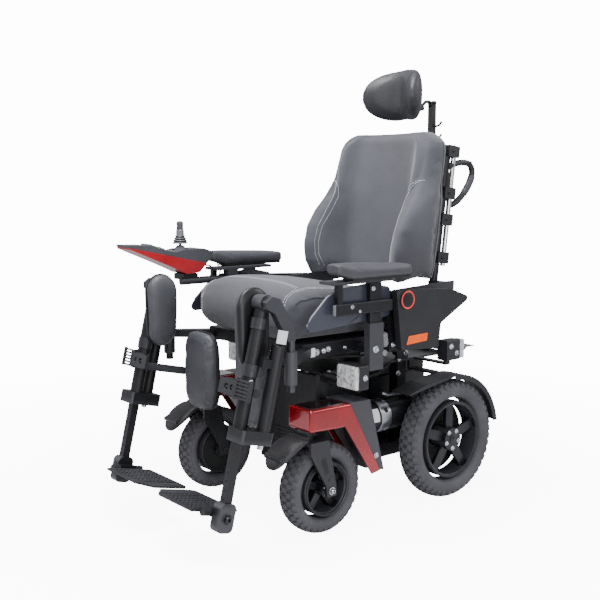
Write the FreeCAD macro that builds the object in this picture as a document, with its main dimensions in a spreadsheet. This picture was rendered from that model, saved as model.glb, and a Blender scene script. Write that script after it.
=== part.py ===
import FreeCAD, Part
import math
import os
import re
import Sketcher

# Powered wheelchair with front casters, drive wheels at the rear, a tilting seat,
# a reclining back and swing-away elevating leg rests.
# Frame: +Z up, front of the chair towards -Y, the chair's left towards +X.
# Origin: on the floor, under the centre of the chair's outer box.

SIZES = {
    # drive wheels and casters
    "axle_y": 330, "wheelbase": 485, "wheel_x": 263, "wheel_radius": 178, "wheel_width": 72,
    "wheel_shoulder": 24, "rim_radius": 115, "rim_width": 56, "rim_wall": 9, "hub_radius": 34,
    "hub_width": 58, "spoke_width": 22, "spoke_depth": 14, "shaft_radius": 15,
    "caster_x": 248, "caster_radius": 125, "caster_width": 68, "caster_shoulder": 22,
    "caster_trail": 47, "caster_rim": 74, "caster_rim_width": 50, "caster_hub": 22,
    "caster_axle": 8, "caster_gap": 10, "fork_plate": 8, "fork_top": 266, "fork_crown": 10,
    "stem_radius": 12, "barrel_radius": 22, "barrel_low": 286, "barrel_high": 342,
    "running_gap": 0.05, "side_gap": 0.3,
    # base frame
    "rail_in": 90, "rail_out": 125, "rail_low": 110, "rail_high": 150, "base_front": -60,
    "base_rear": 470, "pan_sheet": 6, "deck_low": 400, "deck_high": 406, "deck_half": 140,
    "outrigger_end": 196, "tray_half": 185, "tray_rear": 544.165, "tray_low": 414, "tray_high": 422,
    "battery_half": 70, "battery_length": 238, "battery_low": 116, "battery_high": 344,
    "shroud_half": 131, "shroud_front": -68, "shroud_wall": 4,
    # caster arms and their painted covers
    "cover_in": 205, "cover_out": 300, "cover_wall": 4, "cover_front": -230, "cover_top": 353,
    # motors
    "motor_x": 178, "motor_z": 262, "motor_radius": 46, "motor_front": 100, "motor_rear": 275,
    "gearbox_in": 130, "gearbox_out": 222, "release_y": 225, "release_z": 319, "release_x": 196,
    "release_half": 6, "release_pin": 3,
    # fenders and lamps
    "fender_in": 228, "fender_out": 300, "fender_radius": 196, "fender_sheet": 4,
    "lamp_in": 216, "lamp_out": 300, "lamp_low": 380, "lamp_high": 448, "lamp_front": -70,
    "lens_depth": 12, "lamp_rear": -25, "tail_in": 262, "tail_low": 420, "tail_high": 480,
    "tail_front": 288, "tail_lens": 344, "tail_rear": 368,
    # seat frame and tilt
    "tilt_y": 280, "tilt_z": 430, "tilt_pin": 8, "tilt_lug": 20, "seat_rail_in": 190,
    "seat_rail_out": 220, "seat_rail_low": 470, "seat_rail_high": 505, "seat_front": -190,
    "seat_rear": 300, "seat_pan": 510, "actuator_y": 190, "actuator_z": 440, "eye_y": -60,
    "eye_z": 484, "actuator_tube": 20,
    "actuator_rod": 10, "eye_radius": 14.5, "eye_bore": 11.5, "pin_radius": 6,
    "cushion_half": 225, "cushion_front": -240, "cushion_rear": 235, "cushion_low": 511,
    "cushion_high": 666, "cushion_heel": 605, "cushion_edge": 12,
    # side panels
    "guard_in": 268, "guard_out": 274, "panel_in": 286, "panel_out": 306, "panel_wall": 4,
    "hub_y": 112, "hub_z": 616, "hub_disc": 26, "hub_out": 310, "recline_pin": 12,
    "plate_in": 258, "plate_out": 266, "arm_in": 244, "arm_out": 252,
    # armrests
    "post_in": 279, "post_out": 291, "post_front": -14, "post_rear": 28, "post_low": 436,
    "post_high": 680, "socket_wall": 5, "socket_low": 430, "socket_high": 560,
    "rest_in": 260, "rest_out": 320, "rest_front": -152, "rest_rear": 127, "rest_round": 8,
    "beam_out": 299, "beam_low": 590, "beam_high": 622, "rest_plate_low": 672,
    # back
    "back_y": 354, "back_z": 629, "back_tilt": 7.2, "back_post_x": 180, "back_post_radius": 12.5,
    "back_post_high": 418, "back_shell": 170, "back_half": 200, "back_cushion_high": 462,
    "wing_in": 165, "wing_out": 224, "grip_in": 172, "grip_out": 198,
    # headrest
    "stalk_half": 10, "stalk_front": 522, "stalk_rear": 540, "stalk_low": 1000, "stalk_high": 1196,
    "link_half": 8, "link_y": 531, "link_z": 1188, "head_y": 452, "head_z": 1178, "head_pin": 4,
    "head_half": 120, "head_low": 1128, "head_high": 1284,
    # joystick
    "stick_x": 280, "pod_half": 40, "pod_round": 7, "stick_y": -251, "stick_z": 735,
    "stick_ball": 18, "ring_radius": 23, "ring_half": 3, "well_radius": 24.5, "well_low": 712,
    "stem_half": 4, "knob_radius": 12, "knob_low": 773, "knob_high": 799, "mount_x": 253,
    "mount_z": 646, "mount_radius": 11, "mount_front": -268, "mount_rear": -30,
    "clamp_front": -105, "clamp_rear": -70, "button_y": -344, "button_radius": 6,
    "button_low": 738, "button_high": 751, "cable_radius": 2.5,
    # leg rests
    "knee_y": -350, "knee_z": 640, "leg_angle": 13.5, "leg_x": 256, "leg_radius": 18,
    "leg_low": 340, "leg_bore": 11.3, "knee_pin": 10, "knee_barrel": 22, "barrel_in": 238,
    "barrel_out": 275.5, "hanger_in": 276, "hanger_out": 298, "hanger_x": 290, "hanger_y": -288,
    "hanger_radius": 11, "hanger_low": 411, "hanger_high": 545, "socket_radius": 17,
    "hanger_socket_low": 430, "hanger_socket_high": 515, "strut_x": 285, "strut_y": 52,
    "strut_radius": 18, "strut_high": 95, "strut_low": 336, "pad_in": 195, "pad_out": 235,
    "pad_y": -356, "pad_z": 572, "pad_radius": 50, "pad_half": 58, "calf_in": 50, "calf_out": 200,
    "calf_front": -304, "calf_rear": -262, "calf_low": 286, "calf_high": 515, "calf_round": 16,
    "foot_half": 11, "foot_high": 230, "foot_low": 510, "knuckle_in": 240, "knuckle_out": 272,
    "knuckle_half": 24, "knuckle_high": 502, "knuckle_low": 576, "flip_x": 230, "flip_z": 533,
    "flip_pin": 6, "flip_barrel": 12, "plate_edge": 15, "plate_half": 71, "plate_sheet": 6,
}

CASTER_Y = "(axle_y - wheelbase)"
SWIVEL_Y = "(axle_y - wheelbase - caster_trail)"
ACTUATOR_LENGTH = "sqrt((actuator_y - eye_y)^2 + (eye_z - actuator_z)^2)"
ACTUATOR_ANGLE = "180deg - atan((eye_z - actuator_z)/(actuator_y - eye_y))"
X_AXIS = FreeCAD.Vector(1, 0, 0)
Y_AXIS = FreeCAD.Vector(0, 1, 0)
Z_AXIS = FreeCAD.Vector(0, 0, 1)
ALONG = {
    "x": FreeCAD.Rotation(Y_AXIS, 90),
    "y": FreeCAD.Rotation(X_AXIS, -90),
    "z": FreeCAD.Rotation(),
}
# A side outline is drawn in Y and Z, a plan in X and Y.
VIEWS = {
    "side": (FreeCAD.Rotation(FreeCAD.Vector(1, 1, 1), 120), X_AXIS, "x"),
    "plan": (FreeCAD.Rotation(), Z_AXIS, "z"),
}
PLANES = {"side": "YZ_Plane", "plan": "XY_Plane"}

doc = FreeCAD.newDocument("wheelchair")
sheet = doc.addObject("Spreadsheet::Sheet", "dims")
for row, (alias, value) in enumerate(SIZES.items(), start=1):
    sheet.set(f"A{row}", alias)
    sheet.set(f"B{row}", str(value))
    sheet.setAlias(f"B{row}", alias)
doc.recompute()
nodes = []


def formula(text):
    """Point each alias in an expression at the sheet."""
    return re.sub(r"[a-z]\w*", lambda word: cell(word.group(0)), str(text))


def cell(word):
    """The sheet's name for a word, or the word itself if the sheet has no such alias."""
    return f"dims.{word}" if word in SIZES else word


def bind(item, **values):
    """Bind properties to expressions; two underscores stand for a dot."""
    for name, text in values.items():
        item.setExpression(name.replace("__", "."), formula(text))
    return item


def move_to(item, x=0, y=0, z=0):
    """Bind an object's position."""
    return bind(item, Placement__Base__x=x, Placement__Base__y=y, Placement__Base__z=z)


def box(name, x, y, z):
    """A box between its low and high limits on each axis."""
    item = doc.addObject("Part::Box", name)
    bind(item, Length=f"({x[1]}) - ({x[0]})", Width=f"({y[1]}) - ({y[0]})")
    bind(item, Height=f"({z[1]}) - ({z[0]})")
    return move_to(item, x[0], y[0], z[0])


def rod(name, axis, centre, span, radius):
    """A cylinder along an axis; centre holds the two other coordinates in X, Y, Z order."""
    item = doc.addObject("Part::Cylinder", name)
    item.Placement = FreeCAD.Placement(FreeCAD.Vector(), ALONG[axis])
    bind(item, Radius=radius, Height=f"({span[1]}) - ({span[0]})")
    place = list(centre)
    place.insert("xyz".index(axis), span[0])
    return move_to(item, *place)


def ball(name, centre, radius):
    """A sphere."""
    item = doc.addObject("Part::Sphere", name)
    bind(item, Radius=radius)
    return move_to(item, *centre)


def draw(sketch, points):
    """A closed outline whose corners are bound to the sheet."""
    count = len(points)
    for index in range(count):
        start = FreeCAD.Vector(index, index * index, 0)
        after = (index + 1) % count
        end = FreeCAD.Vector(after, after * after, 0)
        sketch.addGeometry(Part.LineSegment(start, end), False)
    for index in range(count):
        sketch.addConstraint(Sketcher.Constraint("Coincident", index, 2, (index + 1) % count, 1))
    for index, point in enumerate(points):
        for kind, text in zip(("DistanceX", "DistanceY"), point):
            number = sketch.addConstraint(Sketcher.Constraint(kind, -1, 1, index, 1, evaluate(text)))
            sketch.setExpression(f"Constraints[{number}]", formula(text))


def evaluate(text):
    """The present value of an expression over the sheet."""
    return sheet.evalExpression(formula(text).replace("dims.", ""))


def slab(name, view, points, span):
    """An outline extruded between two limits across its view."""
    turn, direction, axis = VIEWS[view]
    sketch = doc.addObject("Sketcher::SketchObject", name + "_outline")
    sketch.Placement = FreeCAD.Placement(FreeCAD.Vector(), turn)
    bind(sketch, **{f"Placement__Base__{axis}": span[0]})
    draw(sketch, points)
    item = doc.addObject("Part::Extrusion", name)
    item.Base = sketch
    item.DirMode = "Custom"
    item.Dir = direction
    item.Solid = True
    return bind(item, LengthFwd=f"({span[1]}) - ({span[0]})")


def moulded(name, view, points, span, radius, along=None):
    """A PartDesign body padded from an outline, with the chosen edges rounded."""
    body = doc.addObject("PartDesign::Body", name)
    sketch = body.newObject("Sketcher::SketchObject", name + "_outline")
    plane = [item for item in body.Origin.OriginFeatures if item.Role == PLANES[view]][0]
    sketch.AttachmentSupport = [(plane, "")]
    sketch.MapMode = "FlatFace"
    bind(sketch, AttachmentOffset__Base__z=span[0])
    draw(sketch, points)
    pad = body.newObject("PartDesign::Pad", name + "_pad")
    pad.Profile = sketch
    bind(pad, Length=f"({span[1]}) - ({span[0]})")
    body.Tip = pad
    doc.recompute()
    fillet = body.newObject("PartDesign::Fillet", name + "_round")
    fillet.Base = (pad, chosen_edges(pad.Shape, along))
    bind(fillet, Radius=radius)
    body.Tip = fillet
    return body


def chosen_edges(shape, along=None):
    """The names of a shape's straight edges, or of those that run along one axis."""
    names = []
    for number, edge in enumerate(shape.Edges, start=1):
        direction = edge.tangentAt(edge.FirstParameter)
        if along is None or abs(direction.dot(along)) > 0.999:
            names.append(f"Edge{number}")
    return names


def rounded(name, base, radius, along=None, within=None):
    """Round a solid's edges, all of them or those along one axis or inside a box."""
    doc.recompute()
    size = evaluate(radius)
    edges = []
    for label in chosen_edges(base.Shape, along):
        number = int(label[4:])
        middle = base.Shape.Edges[number - 1].CenterOfMass
        if within is None or within(middle):
            edges.append((number, size, size))
    item = doc.addObject("Part::Fillet", name)
    item.Base = base
    item.Edges = edges
    return item


def join(name, *parts):
    """Weld solids into one."""
    item = doc.addObject("Part::MultiFuse", name)
    item.Shapes = list(parts)
    return item


def carrier(name, piece):
    """A holder that can be turned and moved with the piece in it."""
    item = doc.addObject("Part::Compound", name)
    item.Links = [piece]
    return item


def less(name, base, *tools):
    """Take tools away from a solid."""
    item = doc.addObject("Part::Cut", name)
    item.Base = base
    item.Tool = tools[0] if len(tools) == 1 else join(name + "_tools", *tools)
    return item


def both_sides(name, maker):
    """Make a piece and its twin on the chair's other side, welded."""
    left = maker(name + "_near")
    return join(name, left, mirror(name + "_far", left))


def mirror(name, source):
    """The mirror image across the chair's middle plane."""
    item = doc.addObject("Part::Mirroring", name)
    item.Source = source
    item.Normal = X_AXIS
    return item


def lean(item, angle, y, z):
    """Turn a piece built about its own origin and set it at a point of the middle plane."""
    item.Placement = FreeCAD.Placement(FreeCAD.Vector(), FreeCAD.Rotation(-X_AXIS, 1))
    bind(item, Placement__Rotation__Angle=angle)
    return move_to(item, 0, y, z)


def node(item, label):
    """Name a finished sub-part."""
    item.Label = label
    nodes.append(item)
    return item


def pair(item, label):
    """Name a left-hand sub-part and add its right-hand twin."""
    node(item, label + "_left")
    node(mirror(label + "_mirror", item), label + "_right")


def drive_wheels():
    """Pneumatic tyres on five-spoke rims, on the gearboxes' output shafts."""
    low = "wheel_x - wheel_width/2"
    high = "wheel_x + wheel_width/2"
    axle = ("axle_y", "wheel_radius")
    tread = rod("tyre_tread", "x", axle, (low, high), "wheel_radius")
    tread = rounded("tyre_round", tread, "wheel_shoulder")
    bore = rod("tyre_bore", "x", axle, ("wheel_x - wheel_width", "wheel_x + wheel_width"), "rim_radius")
    pair(less("drive_tyre", tread, bore), "drive_tyre")
    rim_span = ("wheel_x - rim_width/2", "wheel_x + rim_width/2")
    ring = rod("rim_ring", "x", axle, rim_span, "rim_radius")
    hollow = rod("rim_hollow", "x", axle, ("wheel_x - rim_width", "wheel_x + rim_width"), "rim_radius - rim_wall")
    parts = [less("rim_barrel", ring, hollow)]
    parts.append(rod("rim_hub", "x", axle, ("wheel_x - hub_width/2", "wheel_x + hub_width/2"), "hub_radius"))
    for turn in range(5):
        spoke = box(f"rim_spoke_{turn}", ("0", "spoke_depth"), ("-spoke_width/2", "spoke_width/2"),
                    ("hub_radius/2", "rim_radius - rim_wall/2"))
        arm = carrier(f"rim_arm_{turn}", spoke)
        arm.Placement = FreeCAD.Placement(FreeCAD.Vector(), FreeCAD.Rotation(X_AXIS, 72 * turn))
        parts.append(move_to(arm, "wheel_x", "axle_y", "wheel_radius"))
    solid = join("rim_solid", *parts)
    shaft = rod("rim_bore", "x", axle, ("wheel_x - hub_width", "wheel_x + hub_width/2 - 8"),
                "shaft_radius + running_gap")
    pair(less("drive_rim", solid, shaft), "drive_rim")


def casters():
    """Trailing casters: fork, stem, axle and hood in one, then rim and tyre."""
    axle = (CASTER_Y, "caster_radius")
    span = ("caster_x - caster_width/2", "caster_x + caster_width/2")
    wide = ("caster_x - caster_width", "caster_x + caster_width")
    tread = rod("caster_tread", "x", axle, span, "caster_radius")
    tread = rounded("caster_round", tread, "caster_shoulder")
    pair(less("caster_tyre", tread, rod("caster_bore", "x", axle, wide, "caster_rim")), "caster_tyre")
    ring = rod("caster_ring", "x", axle, ("caster_x - caster_rim_width/2", "caster_x + caster_rim_width/2"),
               "caster_rim")
    hollow = rod("caster_hollow", "x", axle, wide, "caster_rim - rim_wall")
    parts = [less("caster_barrel", ring, hollow)]
    parts.append(rod("caster_hub", "x", axle, span, "caster_hub"))
    for turn in range(5):
        spoke = box(f"caster_spoke_{turn}", ("-spoke_depth/2", "spoke_depth/2"),
                    ("-spoke_width/2", "spoke_width/2"), ("caster_hub/2", "caster_rim - rim_wall/2"))
        arm = carrier(f"caster_spoke_arm_{turn}", spoke)
        arm.Placement = FreeCAD.Placement(FreeCAD.Vector(), FreeCAD.Rotation(X_AXIS, 72 * turn))
        parts.append(move_to(arm, "caster_x", CASTER_Y, "caster_radius"))
    hole = rod("caster_axle_bore", "x", axle, wide, "caster_axle + running_gap")
    pair(less("caster_rim", join("caster_wheel", *parts), hole), "caster_rim")

    outer = "(caster_x + caster_width/2 + caster_gap)"
    inner = "(caster_x - caster_width/2 - caster_gap)"
    leg = [
        (SWIVEL_Y + " - 26", "fork_top"), (SWIVEL_Y + " + 34", "fork_top"),
        (CASTER_Y + " + 15", "caster_radius + 12"), (CASTER_Y + " + 15", "caster_radius - 15"),
        (CASTER_Y + " - 17", "caster_radius - 15"), (CASTER_Y + " - 20", "caster_radius + 15"),
        (SWIVEL_Y + " - 26", "fork_top - 32"),
    ]
    legs = [
        slab("fork_leg_out", "side", leg, (outer, outer + " + fork_plate")),
        slab("fork_leg_in", "side", leg, (inner + " - fork_plate", inner)),
    ]
    crown = box("fork_crown", (inner + " - fork_plate", outer + " + fork_plate"),
                (SWIVEL_Y + " - 26", SWIVEL_Y + " + 34"), ("fork_top - fork_crown", "fork_top"))
    stem = rod("fork_stem", "z", ("caster_x", SWIVEL_Y), ("fork_top - 2", "barrel_high - 4"), "stem_radius")
    boss = rod("fork_boss", "z", ("caster_x", SWIVEL_Y), ("fork_top", "barrel_low - side_gap"),
               "barrel_radius - 2")
    pin = rod("fork_axle", "x", axle, (inner + " - fork_plate - 5", outer + " + fork_plate + 5"), "caster_axle")
    hood_points = [
        (SWIVEL_Y + " - 114", "fork_top - 38"), (SWIVEL_Y + " - 116", "fork_top - 30"),
        (SWIVEL_Y + " - 24", "fork_top + 14"), (SWIVEL_Y + " - 18", "fork_top + 14"),
        (SWIVEL_Y + " - 18", "fork_top - 4"), (SWIVEL_Y + " - 26", "fork_top - 4"),
        (SWIVEL_Y + " - 26", "fork_top + 6"),
    ]
    hood = slab("fork_hood", "side", hood_points, ("caster_x - 34", "caster_x + 34"))
    pair(join("caster_fork", crown, stem, boss, pin, hood, *legs), "caster_fork")


def caster_arms():
    """Welded arms that carry the casters, and their painted covers."""
    def gusset(name, x, margin):
        points = [
            ("-88 + 2*" + margin, "cover_top - 1 - " + margin), ("-12 - " + margin, "cover_top - 2 - " + margin),
            ("44 - " + margin, "143 + " + margin), ("26 + " + margin, "146 + " + margin),
        ]
        return slab(name, "side", points, x)
    shell = less("gusset", gusset("gusset_skin", ("outrigger_end", "cover_out - 8"), "0"),
                 gusset("gusset_core", ("outrigger_end + 5", "cover_out - 13"), "4"))
    beam_points = [
        (SWIVEL_Y + " + 10", "cover_top - 55"), (SWIVEL_Y + " + 10", "cover_top - 11"),
        ("-97", "cover_top - 11"), ("-84", "cover_top - 6"), ("36", "150"), ("-4", "150"),
        ("-104", "cover_top - 60"),
    ]
    beam = slab("arm_beam", "side", beam_points, ("caster_x - 22", "caster_x + 22"))
    barrel = rod("arm_barrel", "z", ("caster_x", SWIVEL_Y), ("barrel_low", "barrel_high"), "barrel_radius")
    bore = rod("arm_bore", "z", ("caster_x", SWIVEL_Y), ("barrel_low - 5", "barrel_high - 3"),
               "stem_radius + running_gap")
    whole = join("arm_whole", shell, beam, barrel)
    pair(less("caster_arm", whole, bore), "caster_arm")

    skin = [
        ("cover_front", "293"), ("cover_front", "cover_top"), ("-93", "cover_top - 1"), ("21", "147"),
        ("-9", "142"), ("-108", "289"),
    ]
    core = [
        ("cover_front + cover_wall", "270"), ("cover_front + cover_wall", "cover_top - cover_wall"),
        ("-93", "cover_top - cover_wall"), ("-80", "cover_top + 4"), ("70", "130"), ("-60", "120"),
        ("-130", "270"),
    ]
    skin = slab("cover_skin", "side", skin, ("cover_in", "cover_out"))
    skin = rounded("cover_round", skin, "cover_wall*2", None, lambda spot: spot.y < -150)
    core = slab("cover_core", "side", core, ("cover_in + cover_wall", "cover_out - cover_wall"))
    pair(less("arm_cover", skin, core), "arm_cover")


def base_frame():
    """Box frame for the batteries, outriggers, deck, tilt pin and rear tray."""
    def side(name):
        rail = box(name + "_rail", ("rail_in", "rail_out"), ("base_front", "base_rear"), ("rail_low", "rail_high"))
        posts = [
            box(f"{name}_post_{index}", ("rail_in", "rail_out"), limits, ("rail_high", "deck_low"))
            for index, limits in enumerate([("base_front", "base_front + 35"), ("262", "298")])
        ]
        low = box(name + "_low", ("rail_out - 2", "outrigger_end"), ("0", "36"), ("112", "rail_high"))
        high = box(name + "_high", ("rail_out - 2", "outrigger_end"), ("-50", "-15"), ("290", "330"))
        ear = box(name + "_ear", ("120", "128"), ("tilt_y - 24", "tilt_y + 24"), ("deck_low", "tilt_z + 22"))
        lug = box(name + "_lug", ("eye_bore + 1", "eye_bore + 8"), ("actuator_y - 16", "actuator_y + 16"),
                  ("deck_low", "actuator_z + 12"))
        mount = box(name + "_mount", ("rail_out - 2", "gearbox_in"), ("300", "360"), ("112", "rail_high"))
        return join(name, rail, low, high, ear, lug, mount, *posts)
    parts = [both_sides("base_sides", side)]
    parts.append(box("base_pan", ("-rail_in", "rail_in"), ("base_front", "base_rear"),
                     ("rail_low", "rail_low + pan_sheet")))
    parts.append(box("base_deck", ("-deck_half", "deck_half"), ("base_front", "base_rear"),
                     ("deck_low", "deck_high")))
    parts.append(rod("base_tilt_pin", "x", ("tilt_y", "tilt_z"), ("-128", "128"), "tilt_pin"))
    parts.append(rod("base_actuator_pin", "x", ("actuator_y", "actuator_z"), ("-20", "20"), "pin_radius"))
    parts.append(box("tray_riser", ("-60", "60"), ("440", "base_rear"), ("deck_high", "tray_low")))
    tray = slab("tray", "plan", [
        ("-tray_half", "440"), ("-tray_half", "tray_rear - 40"), ("-tray_half + 40", "tray_rear"),
        ("tray_half - 40", "tray_rear"), ("tray_half", "tray_rear - 40"), ("tray_half", "440"),
    ], ("tray_low", "tray_high"))
    parts.append(tray)
    node(join("chassis_frame", *parts), "chassis_frame")

    skin = box("shroud_skin", ("-shroud_half", "shroud_half"), ("shroud_front", "shroud_front + 14"),
               ("rail_low - 2", "deck_low - 1"))
    skin = rounded("shroud_round", skin, "shroud_wall*1.5", None, lambda spot: spot.y < -67)
    core = box("shroud_core", ("-shroud_half + shroud_wall", "shroud_half - shroud_wall"),
               ("shroud_front + shroud_wall", "shroud_front + 20"),
               ("rail_low + 1", "deck_low - shroud_wall"))
    back = box("shroud_back", ("-rail_out - 1", "rail_out + 1"), ("base_front - 0.5", "shroud_front + 20"),
               ("rail_low - 5", "deck_low"))
    node(less("front_shroud", skin, core, back), "front_shroud")

    cells = [
        box(f"battery_{index}", ("-battery_half", "battery_half"), (start, start + " + battery_length"),
            ("battery_low", "battery_high"))
        for index, start in enumerate(["base_front + 12", "base_front + 262"])
    ]
    node(join("batteries", *cells), "batteries")
    body = box("module_body", ("-75", "75"), ("235", "430"), ("350", "deck_low"))
    plugs = box("module_plugs", ("-60", "60"), ("205", "236"), ("356", "384"))
    node(join("power_module", body, plugs), "power_module")


def motors():
    """Motor, right-angle gearbox, output shaft, and the brake release lever on top."""
    motor = rod("motor_can", "y", ("motor_x", "motor_z"), ("motor_front", "motor_rear"), "motor_radius")
    motor = rounded("motor_round", motor, "5")
    box_body = box("gearbox", ("gearbox_in", "gearbox_out"), ("268", "372"), ("134", "304"))
    box_body = rounded("gearbox_round", box_body, "14")
    flange = rod("gearbox_flange", "x", ("axle_y", "wheel_radius"), ("gearbox_out - 2", "gearbox_out + 5"), "40")
    shaft = rod("output_shaft", "x", ("axle_y", "wheel_radius"), ("gearbox_out", "wheel_x + hub_width/2 - 10"),
                "shaft_radius")
    ears = [
        box(f"release_ear_{index}", limits, ("release_y - 8", "release_y + 8"), ("300", "release_z + 6"))
        for index, limits in enumerate([("release_x - release_half - 5", "release_x - release_half - side_gap"),
                                        ("release_x + release_half + side_gap", "release_x + release_half + 5")])
    ]
    pin = rod("release_pin", "x", ("release_y", "release_z"),
              ("release_x - release_half - 5", "release_x + release_half + 5"), "release_pin")
    body = join("motor_body", motor, box_body, flange, shaft, pin, *ears)
    pair(body, "gearmotor")
    eye = rod("release_eye", "x", ("release_y", "release_z"),
              ("release_x - release_half", "release_x + release_half"), "7")
    blade = slab("release_blade", "side", [
        ("release_y", "release_z - 4"), ("release_y", "release_z + 4"), ("release_y - 78", "release_z + 7"),
        ("release_y - 100", "release_z + 16"), ("release_y - 103", "release_z + 11"),
        ("release_y - 80", "release_z + 2"),
    ], ("release_x - release_half", "release_x + release_half"))
    hole = rod("release_hole", "x", ("release_y", "release_z"),
               ("release_x - 10", "release_x + 10"), "release_pin + running_gap")
    pair(less("release_lever", join("release_solid", eye, blade), hole), "brake_lever")


def fenders_and_lamps():
    """Drive-wheel fenders, head lamps and tail lamps."""
    axle = ("axle_y", "wheel_radius")
    span = ("fender_in", "fender_out")
    outer = rod("fender_outer", "x", axle, span, "fender_radius")
    inner = rod("fender_inner", "x", axle, ("fender_in - 5", "fender_out - fender_sheet"),
                "fender_radius - fender_sheet")
    opening = rod("fender_opening", "x", axle, ("fender_out - 5", "fender_out + 5"), "fender_radius - 16")
    below = slab("fender_below", "side", [
        ("axle_y", "wheel_radius + fender_radius + 10"), ("axle_y - 240", "wheel_radius + 260"),
        ("axle_y - 240", "wheel_radius - 260"), ("axle_y + 240", "wheel_radius - 260"),
        ("axle_y + 240", "wheel_radius + 30"), ("axle_y", "wheel_radius + 30"),
    ], ("fender_in - 10", "fender_out + 10"))
    arch = less("fender_arch", outer, inner, opening, below)
    flare = slab("fender_flare", "side", [
        ("axle_y", "wheel_radius + fender_radius"), ("axle_y", "wheel_radius + fender_radius - fender_sheet"),
        ("axle_y - 194", "wheel_radius + 161"), ("axle_y - 194", "wheel_radius + 165"),
        ("axle_y - 120", "wheel_radius + 184"),
    ], span)
    stay = box("fender_stay", ("rail_out + 4", "fender_in + 2"), ("300", "330"),
               ("wheel_radius + fender_radius - 4", "wheel_radius + fender_radius + 2"))
    riser = box("fender_riser", ("rail_out + 4", "deck_half - 2"), ("300", "330"),
                ("wheel_radius + fender_radius", "deck_low"))
    pair(join("rear_fender", arch, flare, stay, riser), "rear_fender")

    head = box("head_housing", ("lamp_in", "lamp_out"), ("lamp_front + lens_depth", "lamp_rear"),
               ("lamp_low", "lamp_high"))
    head = rounded("head_round", head, "6", Y_AXIS)
    head_arm = box("head_arm", ("deck_half", "lamp_in + 4"), ("-52", "-34"), ("deck_low", "deck_high"))
    tail = box("tail_housing", ("tail_in", "fender_out"), ("tail_front", "tail_lens"), ("tail_low", "tail_high"))
    tail = rounded("tail_round", tail, "4", Y_AXIS)
    tail_arm = box("tail_arm", ("deck_half", "tail_in + 4"), ("320", "340"), ("deck_low", "deck_high"))
    tail_post = box("tail_post", ("tail_in - 4", "tail_in + 4"), ("320", "340"), ("deck_low", "tail_low + 10"))
    side = join("lamp_side", head, head_arm, tail, tail_arm, tail_post)
    node(join("lamp_bodies", side, mirror("lamp_side_far", side)), "lamp_housings")
    lens = box("head_lens", ("lamp_in + 2", "lamp_out - 2"), ("lamp_front", "lamp_front + lens_depth"),
               ("lamp_low + 2", "lamp_high - 2"))
    lens = rounded("head_lens_round", lens, "5", None, lambda spot: spot.y < -60)
    glow = box("tail_lens", ("tail_in + 2", "fender_out - 2"), ("tail_lens", "tail_rear"),
               ("tail_low + 2", "tail_high - 2"))
    glow = rounded("tail_lens_round", glow, "5", None, lambda spot: spot.y > 350)
    lenses = join("lamp_lens_side", lens, glow)
    node(join("lamp_lens_all", lenses, mirror("lamp_lens_far", lenses)), "lamp_lenses")


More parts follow.
